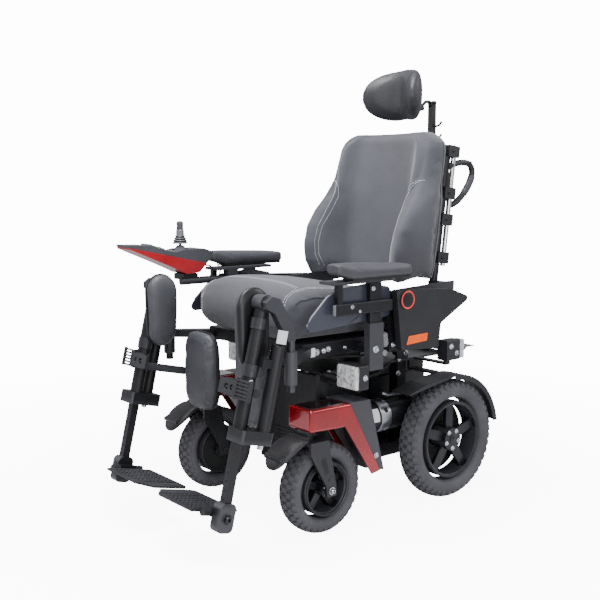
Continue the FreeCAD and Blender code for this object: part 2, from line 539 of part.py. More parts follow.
def seat():
    """Tilting seat frame with its pan, sockets and pivots, and the cushion."""
    def side(name):
        rail = box(name + "_rail", ("seat_rail_in", "seat_rail_out"), ("seat_front", "seat_rear"),
                   ("seat_rail_low", "seat_rail_high"))
        lug = rod(name + "_lug", "x", ("tilt_y", "tilt_z"), ("100", "112"), "tilt_lug")
        web = box(name + "_web", ("100", "112"), ("tilt_y - 18", "tilt_y + 18"), ("tilt_z", "seat_rail_low + 10"))
        ear = box(name + "_ear", ("12", "18"), ("eye_y - 27", "eye_y + 18"), ("eye_z - 14", "eye_z + 15"))
        plate = slab(name + "_plate", "side", [
            ("85", "seat_rail_low"), ("200", "seat_rail_low"), ("248", "560"), ("285", "596"), ("285", "625"),
            ("140", "638"), ("84", "638"),
        ], ("plate_in", "plate_out"))
        tie = box(name + "_tie", ("seat_rail_out - 2", "plate_in + 2"), ("100", "190"), ("476", "500"))
        pin = rod(name + "_pin", "x", ("hub_y", "hub_z"), ("arm_in - 4", "plate_in + 4"), "recline_pin")
        sleeve = rod(name + "_sleeve", "x", ("hub_y", "hub_z"), ("plate_out - 2", "panel_in"), "hub_disc - 7")
        socket = box(name + "_socket", ("post_in - socket_wall", "post_out + socket_wall"),
                     ("post_front - socket_wall", "post_rear + socket_wall"), ("socket_low", "socket_high"))
        arm = box(name + "_arm", ("seat_rail_out - 2", "post_in - socket_wall + 2"), ("-8", "22"), ("476", "496"))
        tube = rod(name + "_tube", "z", ("hanger_x", "hanger_y"), ("hanger_socket_low", "hanger_socket_high"),
                   "socket_radius")
        reach = slab(name + "_reach", "plan", [
            ("seat_rail_in + 6", "seat_front"), ("seat_rail_out", "seat_front + 34"),
            ("hanger_x + 8", "hanger_y + 12"), ("hanger_x - 8", "hanger_y - 8"),
        ], ("478", "500"))
        solid = join(name + "_solid", rail, lug, web, ear, plate, tie, pin, sleeve, socket, arm, tube, reach)
        slot = box(name + "_slot", ("post_in - side_gap", "post_out + side_gap"),
                   ("post_front - side_gap", "post_rear + side_gap"), ("socket_low - 5", "socket_high + 5"))
        bore = rod(name + "_bore", "z", ("hanger_x", "hanger_y"), ("400", "540"), "hanger_radius + running_gap")
        eye = rod(name + "_eye", "x", ("tilt_y", "tilt_z"), ("95", "117"), "tilt_pin + running_gap")
        return less(name, solid, slot, bore, eye)
    parts = [both_sides("seat_sides", side)]
    for index, limits in enumerate([("seat_front", "seat_front + 30"), ("-112", "-86"), ("270", "seat_rear")]):
        parts.append(box(f"seat_bar_{index}", ("-seat_rail_in - 2", "seat_rail_in + 2"), limits,
                         ("seat_rail_low + 5", "seat_rail_high")))
    parts.append(box("seat_pan", ("-seat_rail_out", "seat_rail_out"), ("seat_front", "seat_rear"),
                     ("seat_rail_high", "seat_pan")))
    parts.append(rod("seat_eye_pin", "x", ("eye_y", "eye_z"), ("-18", "18"), "pin_radius"))
    node(join("seat_frame", *parts), "seat_frame")

    outline = [
        ("cushion_front + 22", "cushion_low"), ("cushion_front", "cushion_low + 34"),
        ("cushion_front", "cushion_high - 48"), ("cushion_front + 36", "cushion_high - 8"),
        ("cushion_front + 100", "cushion_high"), ("cushion_front + 195", "cushion_high - 8"),
        ("cushion_rear - 95", "cushion_heel + 12"), ("cushion_rear", "cushion_heel"),
        ("cushion_rear", "cushion_low"),
    ]
    span = ("-cushion_half", "cushion_half")
    node(moulded("seat_cushion", "side", outline, span, "cushion_edge"), "seat_cushion")

    body = rod("tilt_tube", "x", ("0", "0"), ("-12", "12"), "14")
    shank = box("tilt_shank", ("-12", "12"), ("0", "30"), ("-12", "12"))
    tube = rod("tilt_barrel", "y", ("0", "0"), ("26", "165"), "actuator_tube")
    motor = rod("tilt_motor", "y", ("-32", "4"), ("30", "126"), "17")
    neck = box("tilt_neck", ("-34", "0"), ("30", "58"), ("-14", "14"))
    eye = rod("tilt_eye_bore", "x", ("0", "0"), ("-30", "30"), "pin_radius + running_gap")
    bore = rod("tilt_bore", "y", ("0", "0"), ("40", "170"), "actuator_rod + running_gap")
    shell = less("tilt_body", join("tilt_solid", body, shank, tube, motor, neck), eye, bore)
    node(aim(shell), "tilt_actuator_body")
    shaft = rod("tilt_rod", "y", ("0", "0"), ("60", ACTUATOR_LENGTH + " - eye_bore - 1"), "actuator_rod")
    end = rod("tilt_end", "x", (ACTUATOR_LENGTH, "0"), ("-9", "9"), "eye_radius")
    hole = rod("tilt_end_bore", "x", (ACTUATOR_LENGTH, "0"), ("-12", "12"), "eye_bore")
    node(aim(less("tilt_shaft", join("tilt_shaft_solid", shaft, end), hole)), "tilt_actuator_rod")


def aim(item):
    """Set an actuator piece, built along +Y, on its lower pin, pointing at the seat's pin."""
    item.Placement = FreeCAD.Placement(FreeCAD.Vector(), FreeCAD.Rotation(X_AXIS, 1))
    bind(item, Placement__Rotation__Angle=ACTUATOR_ANGLE)
    return move_to(item, 0, "actuator_y", "actuator_z")


def side_panels():
    """Clothing guards and the moulded covers over the recline pivots."""
    guard = [
        ("-235", "550"), ("-205", "590"), ("-150", "640"), ("-109", "658"), ("0", "668"), ("78", "652"),
        ("78", "572"),
    ]
    pair(moulded("side_guard", "side", guard, ("guard_in", "guard_out"), "14", X_AXIS), "side_guard")
    outline = [
        ("71", "646"), ("293", "634"), ("379", "603"), ("253", "538"), ("243", "466"), ("93", "476"),
    ]
    panel = slab("panel_skin", "side", outline, ("panel_in", "panel_out"))
    panel = rounded("panel_round", panel, "9", X_AXIS)
    hub = rod("panel_hub", "x", ("hub_y", "hub_z"), ("panel_out - 2", "hub_out"), "hub_disc")
    pocket = slab("panel_pocket", "side", [
        ("150", "620"), ("285", "612"), ("310", "600"), ("235", "552"), ("225", "482"), ("110", "490"),
        ("104", "580"), ("150", "585"),
    ], ("panel_in - 2", "panel_out - panel_wall"))
    boss = box("panel_boss", ("plate_out", "panel_in + 1"), ("225", "243"), ("565", "585"))
    skin = less("panel_shell", join("panel_solid", panel, hub), pocket)
    pin = box("panel_rib", ("panel_in", "panel_out - 2"), ("225", "243"), ("560", "590"))
    pair(join("recline_cover", skin, boss, pin), "recline_cover")


def armrests():
    """Height-adjustable armrests: flat post, beam, pad plate and pad."""
    post = box("rest_post", ("post_in", "post_out"), ("post_front", "post_rear"), ("post_low", "post_high"))
    beam = box("rest_beam", ("post_out - 1", "beam_out"), ("-145", "66"), ("beam_low", "beam_high"))
    beam = rounded("rest_beam_round", beam, "4")
    stub = box("rest_stub", ("281", "297"), ("-134", "-118"), ("beam_low + 10", "rest_plate_low + 2"))
    plate = box("rest_plate", ("mount_x - 14", "beam_out"), ("-150", "60"), ("rest_plate_low", "post_high"))
    left = join("armrest_post", post, beam, stub, plate)
    node(left, "armrest_post_left")
    clamp = box("stick_clamp", ("-mount_x - 14", "-mount_x + 14"), ("clamp_front", "clamp_rear"),
                ("mount_z - 14", "rest_plate_low + 2"))
    solid = join("rest_right_solid", mirror("rest_right", left), clamp)
    bore = rod("stick_clamp_bore", "y", ("-mount_x", "mount_z"), ("clamp_front - 5", "clamp_rear + 5"),
               "mount_radius + running_gap")
    node(less("armrest_post_far", solid, bore), "armrest_post_right")
    outline = [
        ("rest_front", "694"), ("rest_front", "731"), ("rest_rear", "717"),
        ("rest_rear", "post_high + 0.5"), ("rest_front + 54", "post_high + 0.5"),
    ]
    pair(moulded("arm_pad_body", "side", outline, ("rest_in", "rest_out"), "rest_round"), "arm_pad")


def back():
    """Reclining back: posts, shell, pivot arms, cushion and push handles."""
    def upright(name):
        return rod(name, "z", ("back_post_x", "0"), ("0", "back_post_high"), "back_post_radius")
    parts = [both_sides("back_posts", upright)]
    for index, height in enumerate(["18", "200", "back_post_high - 22"]):
        parts.append(box(f"back_bar_{index}", ("-back_post_x", "back_post_x"), ("-9", "9"),
                         (height, height + " + 22")))
    parts.append(box("back_shell", ("-back_shell", "back_shell"), ("-12", "-8.5"), ("18", "back_post_high")))
    frame = lean(join("back_leaning", *parts), "back_tilt", "back_y", "back_z")

    def arm(name):
        plate = slab(name + "_plate", "side", [
            ("hub_y - 22", "hub_z - 10"), ("hub_y - 10", "hub_z - 22"), ("hub_y + 12", "hub_z - 22"),
            ("back_y - 10", "back_z - 14"), ("back_y + 12", "back_z - 12"), ("back_y + 14", "back_z + 18"),
            ("back_y - 20", "back_z + 18"), ("hub_y + 20", "hub_z + 22"), ("hub_y - 14", "hub_z + 20"),
        ], ("arm_in", "arm_out"))
        foot = box(name + "_foot", ("back_post_x - 10", "arm_in + 2"), ("back_y - 12", "back_y + 12"),
                   ("back_z - 10", "back_z + 14"))
        bore = rod(name + "_bore", "x", ("hub_y", "hub_z"), ("arm_in - 5", "arm_out + 5"),
                   "recline_pin + running_gap")
        return less(name, join(name + "_solid", plate, foot), bore)
    arms = both_sides("back_arms", arm)
    bracket = box("stalk_bracket", ("-24", "24"), ("back_y + 42", "stalk_rear + 4"), ("1006", "1034"))
    slot = box("stalk_slot", ("-stalk_half - side_gap", "stalk_half + side_gap"),
               ("stalk_front - side_gap", "stalk_rear + side_gap"), ("990", "1050"))
    node(less("back_frame", join("back_solid", frame, arms, bracket), slot), "back_frame")

    middle = box("back_pad", ("-back_half", "back_half"), ("-75", "-14"), ("15", "back_cushion_high"))

    def wing(name):
        return slab(name, "side", [
            ("-74", "15"), ("-190", "15"), ("-213", "66"), ("-188", "188"), ("-123", "283"), ("-116", "335"),
            ("-74", "420"),
        ], ("wing_in", "wing_out"))
    wings = both_sides("back_wings", wing)
    flank = box("back_flank", ("-wing_out", "wing_out"), ("-80", "-30"), ("15", "330"))
    node(lean(join("back_pad_solid", middle, wings, flank), "back_tilt", "back_y", "back_z"), "back_cushion")

    def grip(name):
        outer = slab(name + "_outer", "side", [
            ("404", "997"), ("423", "997"), ("509", "1008"), ("529", "987"), ("518", "938"), ("476", "895"),
            ("396", "857"), ("388", "857"),
        ], ("grip_in", "grip_out"))
        inner = slab(name + "_inner", "side", [
            ("424", "965"), ("464", "974"), ("474", "968"), ("471", "946"), ("445", "912"), ("414", "890"),
        ], ("grip_in - 5", "grip_out + 5"))
        return rounded(name + "_round", less(name, outer, inner), "5", X_AXIS, lambda spot: spot.y > 415)
    loops = both_sides("grips", grip)
    stems = both_sides("grip_stems", lambda name: rod(
        name, "z", ("back_post_x", "0"), ("180", "back_post_high + 5"), "back_post_radius + 0.01"))
    node(less("push_handles", loops, lean(stems, "back_tilt", "back_y", "back_z")), "push_handles")


def headrest():
    """Headrest: height stalk, link, and pad with its bracket."""
    stalk = box("stalk", ("-stalk_half", "stalk_half"), ("stalk_front", "stalk_rear"), ("stalk_low", "stalk_high"))
    gap = box("stalk_gap", ("-link_half - side_gap", "link_half + side_gap"), ("stalk_front - 5", "stalk_rear + 5"),
              ("link_z - 16", "stalk_high + 5"))
    pin = rod("stalk_pin", "x", ("link_y", "link_z"), ("-stalk_half - 6", "stalk_half + 6"), "head_pin")
    node(join("headrest_stalk", less("stalk_fork", stalk, gap), pin), "headrest_stalk")

    bar = slab("link_bar", "side", [
        ("link_y + 8", "link_z - 6"), ("link_y + 8", "link_z + 8"), ("link_y - 10", "link_z + 10"),
        ("head_y + 30", "head_z - 6"), ("head_y", "head_z + 8"), ("head_y - 8", "head_z - 4"),
        ("head_y + 4", "head_z - 9"), ("head_y + 34", "head_z - 20"), ("link_y - 8", "link_z - 9"),
    ], ("-link_half", "link_half"))
    holes = [
        rod("link_hole_stalk", "x", ("link_y", "link_z"), ("-20", "20"), "head_pin + running_gap"),
        rod("link_hole_head", "x", ("head_y", "head_z"), ("-20", "20"), "head_pin + running_gap"),
    ]
    node(less("headrest_link", bar, *holes), "headrest_link")

    pad = slab("head_pad", "plan", [
        ("-head_half", "318"), ("-head_half + 18", "306"), ("-52", "348"), ("52", "348"),
        ("head_half - 18", "306"), ("head_half", "318"), ("head_half - 8", "376"), ("66", "424"),
        ("-66", "424"), ("-head_half + 8", "376"),
    ], ("head_low", "head_high"))
    pad = rounded("head_pad_round", pad, "9", None, lambda spot: abs(spot.z - 1206) > 70)
    plate = box("head_plate", ("-24", "24"), ("422", "434"), ("head_z - 24", "head_z + 24"))
    ears = [
        box(f"head_ear_{index}", limits, ("430", "head_y + 8"), ("head_z - 12", "head_z + 12"))
        for index, limits in enumerate([("-link_half - 6", "-link_half - side_gap"),
                                        ("link_half + side_gap", "link_half + 6")])
    ]
    pin = rod("head_pivot", "x", ("head_y", "head_z"), ("-link_half - 6", "link_half + 6"), "head_pin")
    node(join("headrest_pad", pad, plate, pin, *ears), "headrest_pad")


def joystick():
    """Control pod on the right armrest: mount, base, cover, gimbal, lever and button."""
    width = ("-stick_x - pod_half", "-stick_x + pod_half")
    lower = [
        ("-440", "753"), ("-294", "721"), ("-182", "697"), ("-207", "671"), ("-253", "668"),
        ("-315", "696"), ("-439", "748"),
    ]
    base = slab("pod_lower", "side", lower, width)
    base = rounded("pod_lower_round", base, "pod_round", X_AXIS, lambda spot: spot.z < 697 and spot.y > -430)
    node(base, "joystick_base")
    upper = [
        ("-440", "753.2"), ("-444", "760"), ("-377", "757.5"), ("-311", "738"), ("-287", "735"),
        ("-258", "741"), ("-190", "741"), ("-160", "731"), ("-170", "708"), ("-182", "697.2"),
        ("-294", "721.2"),
    ]
    cover = slab("pod_upper", "side", upper, width)
    well = rod("pod_well", "z", ("-stick_x", "stick_y"), ("well_low + 1", "760"), "well_radius")
    hole = rod("pod_hole", "z", ("-stick_x + 18", "button_y"), ("button_low - 2", "770"),
               "button_radius + side_gap")
    node(less("joystick_cover", cover, well, hole), "joystick_cover")
    node(rod("power_button", "z", ("-stick_x + 18", "button_y"), ("button_low", "button_high"),
             "button_radius"), "power_button")

    ring_span = ("stick_z - ring_half", "stick_z + ring_half")
    ring = rod("gimbal_ring", "z", ("-stick_x", "stick_y"), ring_span, "ring_radius")
    hollow = rod("gimbal_hollow", "z", ("-stick_x", "stick_y"), ("stick_z - 10", "stick_z + 10"), "stick_ball + 1")
    node(less("joystick_gimbal", ring, hollow), "joystick_gimbal")
    stem = rod("lever_stem", "z", ("-stick_x", "stick_y"), ("stick_z", "knob_low + 4"), "stem_half")
    knob = rod("lever_knob", "z", ("-stick_x", "stick_y"), ("knob_low", "knob_high"), "knob_radius")
    knob = rounded("lever_knob_round", knob, "5")
    node(join("joystick_lever", ball("lever_ball", ("-stick_x", "stick_y", "stick_z"), "stick_ball"), stem, knob),
         "joystick_lever")

    tube = rod("mount_tube", "y", ("-mount_x", "mount_z"), ("mount_front", "mount_rear"), "mount_radius")
    saddle = box("mount_saddle", ("-stick_x - 20", "-mount_x + 8"), ("-262", "-212"), ("mount_z + 4", "667.9"))
    node(join("joystick_mount", tube, saddle, pod_cable()), "joystick_mount")


def pod_cable():
    """The control lead, from the pod's rear down to the mount tube, in two wide bends."""
    x = -evaluate("mount_x")
    points = [
        FreeCAD.Vector(x, -186.5, 690), FreeCAD.Vector(x, -160, 688), FreeCAD.Vector(x, -152, 670),
        FreeCAD.Vector(x, -163, evaluate("mount_z + mount_radius - 1")),
    ]
    item = doc.addObject("Part::Feature", "pod_cable")
    item.Shape = bent_tube(points, evaluate("cable_radius"))
    return item


def bent_tube(points, radius):
    """A tube along straight runs joined by tangent arcs as wide as the runs allow."""
    edges = []
    start = points[0]
    for before, corner, after in zip(points, points[1:], points[2:]):
        arrive = (corner - before).normalize()
        leave = (after - corner).normalize()
        shorter = min((corner - before).Length, (after - corner).Length)
        reach = 0.45 * shorter
        first = corner - arrive * reach
        last = corner + leave * reach
        bisector = (leave - arrive).normalize()
        half_turn = arrive.getAngle(leave) / 2
        bend = reach / math.tan(half_turn)
        centre = corner + bisector * (bend / math.cos(half_turn))
        middle = centre - bisector * bend
        edges.append(Part.LineSegment(start, first).toShape())
        edges.append(Part.Arc(first, middle, last).toShape())
        start = last
    edges.append(Part.LineSegment(start, points[-1]).toShape())
    path = Part.Wire(edges)
    ring = Part.Wire([Part.makeCircle(radius, points[0], points[1] - points[0])])
    return path.makePipeShell([ring], True, False)


def leg_rests():
    """Swing-away hangers, elevating legs with pads, sliding foot tubes, flip-up plates."""
    post = rod("hanger_post", "z", ("hanger_x", "hanger_y"), ("hanger_low", "hanger_high"), "hanger_radius")
    arm = slab("hanger_arm", "side", [
        ("hanger_y - 12", "hanger_high - 4"), ("hanger_y + 11", "hanger_high - 4"),
        ("hanger_y + 11", "hanger_high + 18"), ("knee_y + 24", "knee_z + 12"), ("knee_y", "knee_z + 20"),
        ("knee_y - 18", "knee_z + 8"), ("knee_y - 18", "knee_z - 10"), ("knee_y + 8", "knee_z - 24"),
    ], ("hanger_in", "hanger_out"))
    arm = rounded("hanger_arm_round", arm, "5", X_AXIS)
    pin = rod("knee_pin", "x", ("knee_y", "knee_z"), ("barrel_in + 4", "hanger_in + 2"), "knee_pin")
    pair(join("hanger", post, arm, pin), "hanger")

    barrel = rod("knee_barrel", "x", ("0", "0"), ("barrel_in", "barrel_out"), "knee_barrel")
    tube = rod("leg_tube", "z", ("leg_x", "0"), ("-leg_low", "0"), "leg_radius")
    strut = rod("leg_strut", "z", ("strut_x", "strut_y"), ("-strut_low", "-strut_high"), "strut_radius")
    strut = rounded("leg_strut_round", strut, "6")
    web = box("leg_web", ("leg_x", "strut_x + 8"), ("8", "strut_y"), ("-strut_high - 62", "-strut_high - 40"))
    shoe = box("leg_shoe", ("leg_x - 20", "strut_x + 19"), ("-22", "strut_y + 22"), ("-leg_low - 8", "-leg_low + 26"))
    shoe = rounded("leg_shoe_round", shoe, "6", Z_AXIS)
    collars = [
        rod(f"leg_collar_{index}", "z", ("leg_x", "0"), (f"-{depth}", f"-{depth} + 18"), "leg_radius + 3")
        for index, depth in enumerate([56, 172])
    ]
    bar = box("calf_bar", ("calf_out", "leg_x + 18"), ("-leg_radius - 12", "-leg_radius + 3"), ("-242", "-198"))
    slots = [
        box(f"calf_slot_{index}", ("210", "234"), ("-50", "0"), (f"-{depth}", f"-{depth} + 5"))
        for index, depth in enumerate([237, 227, 217, 207])
    ]
    reach = box("calf_reach", ("calf_out", "calf_out + 6"), ("-leg_radius - 12", "118"), ("-242", "-220"))
    solid = join("leg_solid", barrel, tube, strut, web, shoe, reach, less("calf_bar_slotted", bar, *slots), *collars)
    hollow = box("leg_hollow", ("leg_x - leg_bore", "leg_x + leg_bore"), ("-leg_bore", "leg_bore"),
                 ("-leg_low - 20", "-150"))
    bore = rod("knee_bore", "x", ("0", "0"), ("barrel_in - 5", "barrel_out + 5"), "knee_pin + running_gap")
    pair(lean(less("leg_frame", solid, hollow, bore), "leg_angle", "knee_y", "knee_z"), "leg_frame")

    top = rod("knee_pad_top", "x", ("pad_y", "pad_z + pad_half"), ("pad_in", "pad_out"), "pad_radius")
    low = rod("knee_pad_low", "x", ("pad_y", "pad_z - pad_half"), ("pad_in", "pad_out"), "pad_radius")
    core = box("knee_pad_core", ("pad_in", "pad_out"), ("pad_y - pad_radius", "pad_y + pad_radius"),
               ("pad_z - pad_half", "pad_z + pad_half"))
    stub = rod("knee_pad_stub", "x", ("knee_y", "knee_z"), ("pad_out - 2", "barrel_in"), "14")
    knee = join("knee_pad", top, low, core, stub)
    calf = box("calf_pad", ("calf_in", "calf_out"), ("calf_front", "calf_rear"), ("calf_low", "calf_high"))
    calf = rounded("calf_pad_round", calf, "calf_round", Y_AXIS)
    pair(join("leg_pads", knee, calf), "leg_pads")

    tube = box("foot_bar", ("leg_x - foot_half", "leg_x + foot_half"), ("-foot_half", "foot_half"),
               ("-foot_low", "-foot_high"))
    knuckle = box("foot_knuckle", ("knuckle_in", "knuckle_out"), ("-knuckle_half", "knuckle_half"),
                  ("-knuckle_low", "-knuckle_high"))
    knuckle = rounded("foot_knuckle_round", knuckle, "14", X_AXIS)
    lug = box("foot_lug", ("flip_x - 6", "knuckle_in + 2"), ("-knuckle_half", "knuckle_half"),
              ("-flip_z - 10", "-flip_z + 10"))
    pin = rod("foot_pin", "y", ("flip_x", "-flip_z"), ("-knuckle_half*2", "knuckle_half*2"), "flip_pin")
    foot = join("foot_solid", tube, knuckle, lug, pin)
    pair(lean(foot, "leg_angle", "knee_y", "knee_z"), "foot_tube")

    top = "(-flip_z + plate_sheet/2)"
    under = "(-flip_z - plate_sheet/2)"
    plate = slab("foot_plate", "plan", [
        ("plate_edge", "-plate_half + 34"), ("plate_edge + 46", "-plate_half"), ("flip_x - 13", "-plate_half"),
        ("flip_x - 13", "plate_half"), ("plate_edge + 10", "plate_half"), ("plate_edge", "plate_half - 10"),
    ], (under, top))
    ribs = [
        box(f"foot_rib_{index}", ("plate_edge + 40", "flip_x - 24"), (f"-52 + 13*{index}", f"-48 + 13*{index}"),
            (top + " - 1", top + " + 2"))
        for index in range(9)
    ]
    fingers = []
    for index, limits in enumerate([("-knuckle_half*2", "-knuckle_half - side_gap"),
                                    ("knuckle_half + side_gap", "knuckle_half*2")]):
        fingers.append(rod(f"flip_barrel_{index}", "y", ("flip_x", "-flip_z"), limits, "flip_barrel - 2"))
        fingers.append(box(f"flip_finger_{index}", ("flip_x - 20", "flip_x"), limits, (under, top)))
    bore = rod("flip_bore", "y", ("flip_x", "-flip_z"), ("-60", "60"), "flip_pin + running_gap")
    solid = less("foot_plate_solid", join("foot_plate_ribbed", plate, *ribs, *fingers), bore)
    pair(lean(solid, "leg_angle", "knee_y", "knee_z"), "footplate")


def check():
    """Stop if any object failed or any sub-part has no valid solid."""
    doc.recompute()
    for item in doc.Objects:
        if "Invalid" in item.State or "Error" in item.State:
            raise RuntimeError(f"{item.Label} failed: {item.State}")
    for item in nodes:
        if item.Shape.isNull() or not item.Shape.isValid() or not item.Shape.Solids:
            raise RuntimeError(f"{item.Label} has no valid solid")


def export():
    """Write every sub-part to its own file and print the outer box."""
    os.makedirs("parts", exist_ok=True)
    whole = FreeCAD.BoundBox()
    for item in nodes:
        whole.add(item.Shape.BoundBox)
        item.Shape.exportStep(f"parts/{item.Label}.step")
    print(len(nodes), "parts, box", whole)


drive_wheels()
casters()
caster_arms()
base_frame()
motors()
fenders_and_lamps()
seat()
side_panels()
armrests()
back()
headrest()
joystick()
leg_rests()
check()
export()
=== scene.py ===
import math
from itertools import product

import bmesh
import bpy
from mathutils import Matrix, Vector
from mathutils.bvhtree import BVHTree


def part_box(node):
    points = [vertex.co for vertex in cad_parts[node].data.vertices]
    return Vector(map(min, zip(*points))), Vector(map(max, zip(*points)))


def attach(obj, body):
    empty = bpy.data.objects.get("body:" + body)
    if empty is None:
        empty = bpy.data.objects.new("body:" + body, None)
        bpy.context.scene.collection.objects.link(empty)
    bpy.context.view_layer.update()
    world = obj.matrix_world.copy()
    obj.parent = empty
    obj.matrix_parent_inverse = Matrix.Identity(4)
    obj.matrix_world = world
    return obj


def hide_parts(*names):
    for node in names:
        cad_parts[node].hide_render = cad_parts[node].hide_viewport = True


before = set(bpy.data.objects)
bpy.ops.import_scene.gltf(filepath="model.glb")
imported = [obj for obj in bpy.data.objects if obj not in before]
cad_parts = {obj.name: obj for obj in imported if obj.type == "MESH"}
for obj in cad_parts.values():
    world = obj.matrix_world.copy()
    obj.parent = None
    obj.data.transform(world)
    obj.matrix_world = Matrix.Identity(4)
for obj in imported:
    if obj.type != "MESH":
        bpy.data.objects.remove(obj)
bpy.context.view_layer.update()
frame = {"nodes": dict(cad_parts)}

SIDES = (("left", 1), ("right", -1))
UP = Vector((0, 0, 1))
REAR = Vector((0, 1, 0))
OUT = Vector((1, 0, 0))


# ---- finishes ----

def tone(red, green, blue):
    """A display colour, 0 to 255, as the linear colour that shaders take."""
    linear = [((c / 255 + 0.055) / 1.055) ** 2.4 if c > 10 else c / 3294 for c in (red, green, blue)]
    return (*linear, 1)


EDGE_GREY = (62, 63, 68)
FINISH = {}


def finish(name, dark, light, rough, grain, size, depth, patch, spread=0.08, worn=False, **sockets):
    """Add a procedural finish: mottled colour, fine relief, uneven gloss, and rubbed edges if worn.

    Colours are display colours, size is the grain's in metres, and patch is mottles in a metre."""
    material = bpy.data.materials.new(name)
    material.use_nodes = True
    tree = material.node_tree
    shader = tree.nodes["Principled BSDF"]
    for socket, value in sockets.items():
        shader.inputs[socket.replace("_", " ")].default_value = value
    place = tree.nodes.new("ShaderNodeTexCoord").outputs["Object"]
    broad = tree.nodes.new("ShaderNodeTexNoise")
    broad.inputs["Scale"].default_value = patch
    broad.inputs["Detail"].default_value = 6
    tree.links.new(place, broad.inputs["Vector"])
    if grain == "noise":
        fine = tree.nodes.new("ShaderNodeTexNoise")
        height = fine.outputs["Fac"]
    else:
        fine = tree.nodes.new("ShaderNodeTexVoronoi")
        fine.inputs["Randomness"].default_value = 0.12 if grain == "weave" else 1
        height = fine.outputs["Distance"]
    fine.inputs["Scale"].default_value = 1 / size
    tree.links.new(place, fine.inputs["Vector"])
    mottle = tree.nodes.new("ShaderNodeMath")
    mottle.operation = "MULTIPLY_ADD"
    mottle.inputs[1].default_value = 0.15 if grain == "weave" else 0.45
    tree.links.new(height, mottle.inputs[0])
    tree.links.new(broad.outputs["Fac"], mottle.inputs[2])
    ramp = tree.nodes.new("ShaderNodeValToRGB")
    ramp.color_ramp.elements[0].position = 0.35
    ramp.color_ramp.elements[0].color = tone(*dark)
    ramp.color_ramp.elements[1].position = 0.95
    ramp.color_ramp.elements[1].color = tone(*light)
    tree.links.new(mottle.outputs[0], ramp.inputs["Fac"])
    colour = ramp.outputs["Color"]
    if worn:
        edge = tree.nodes.new("ShaderNodeMapRange")
        edge.inputs["From Min"].default_value = 0.53
        edge.inputs["From Max"].default_value = 0.62
        tree.links.new(tree.nodes.new("ShaderNodeNewGeometry").outputs["Pointiness"], edge.inputs["Value"])
        rub = tree.nodes.new("ShaderNodeMix")
        rub.data_type = "RGBA"
        rub.inputs[7].default_value = tone(*EDGE_GREY)
        tree.links.new(edge.outputs["Result"], rub.inputs[0])
        tree.links.new(colour, rub.inputs[6])
        colour = rub.outputs[2]
    tree.links.new(colour, shader.inputs["Base Color"])
    gloss = tree.nodes.new("ShaderNodeMapRange")
    gloss.inputs["To Min"].default_value = max(rough - spread, 0.02)
    gloss.inputs["To Max"].default_value = min(rough + spread, 1)
    tree.links.new(broad.outputs["Fac"], gloss.inputs["Value"])
    tree.links.new(gloss.outputs["Result"], shader.inputs["Roughness"])
    bump = tree.nodes.new("ShaderNodeBump")
    bump.inputs["Strength"].default_value = depth
    bump.inputs["Distance"].default_value = size / 2
    tree.links.new(height, bump.inputs["Height"])
    tree.links.new(bump.outputs["Normal"], shader.inputs["Normal"])
    FINISH[name] = material


finish("fabric", (56, 57, 64), (78, 79, 87), 0.9, "weave", 0.0018, 0.3, 7,
       Sheen_Weight=0.25, Sheen_Roughness=0.5)
finish("fabric_side", (30, 31, 38), (46, 47, 55), 0.9, "weave", 0.0018, 0.3, 7,
       Sheen_Weight=0.2, Sheen_Roughness=0.5)
finish("skin", (28, 29, 33), (44, 45, 50), 0.52, "cells", 0.0013, 0.25, 8)
finish("pad_skin", (46, 47, 52), (68, 69, 75), 0.48, "cells", 0.0018, 0.4, 9)
finish("shell", (10, 10, 13), (20, 20, 24), 0.38, "noise", 0.0015, 0.12, 9)
finish("thread", (176, 178, 184), (214, 216, 220), 0.8, "noise", 0.0008, 0.4, 60)
finish("powder", (13, 13, 17), (24, 24, 29), 0.42, "noise", 0.0011, 0.16, 12,
       worn=True, Metallic=0.25)
finish("plastic", (18, 18, 22), (31, 31, 36), 0.5, "noise", 0.0009, 0.2, 10)
finish("plastic_grey", (46, 47, 52), (70, 71, 77), 0.48, "noise", 0.0009, 0.2, 10)
finish("dark", (5, 5, 7), (13, 13, 16), 0.7, "noise", 0.002, 0.1, 14)
finish("lacquer", (110, 0, 10), (160, 2, 20), 0.25, "cells", 0.0007, 0.06, 10, 0.06,
       Metallic=0.55, Coat_Weight=0.9, Coat_Roughness=0.06)
finish("red", (130, 4, 16), (172, 12, 26), 0.3, "noise", 0.002, 0.03, 10,
       Coat_Weight=0.6, Coat_Roughness=0.1)
finish("rubber", (52, 52, 56), (78, 78, 83), 0.8, "noise", 0.0016, 0.35, 14)
finish("rim", (14, 14, 17), (27, 27, 32), 0.36, "noise", 0.0012, 0.1, 11,
       worn=True, Metallic=0.4)
finish("zinc", (176, 180, 188), (228, 231, 236), 0.3, "noise", 0.0016, 0.12, 40, Metallic=1.0)
finish("chrome", (206, 209, 214), (244, 245, 248), 0.14, "noise", 0.003, 0.03, 20, 0.05,
       Metallic=1.0)
finish("brass", (150, 104, 48), (214, 160, 90), 0.32, "noise", 0.002, 0.1, 30, Metallic=1.0)
finish("label", (196, 199, 204), (226, 228, 232), 0.5, "noise", 0.003, 0.05, 12)
finish("orange", (240, 74, 0), (255, 100, 0), 0.4, "cells", 0.002, 0.35, 30,
       Coat_Weight=0.2, Coat_Roughness=0.2, Specular_IOR_Level=0.2)
finish("smoked", (44, 46, 57), (62, 64, 77), 0.22, "noise", 0.003, 0.04, 8,
       Coat_Weight=0.5, Coat_Roughness=0.08)
# gloss: the near-black colour of the painted reflection on top of the red arm covers
finish("gloss", (12, 8, 10), (26, 18, 20), 0.16, "noise", 0.003, 0.03, 9,
       Coat_Weight=0.8, Coat_Roughness=0.05)
finish("ring", (206, 34, 30), (240, 58, 50), 0.4, "noise", 0.001, 0.08, 20)
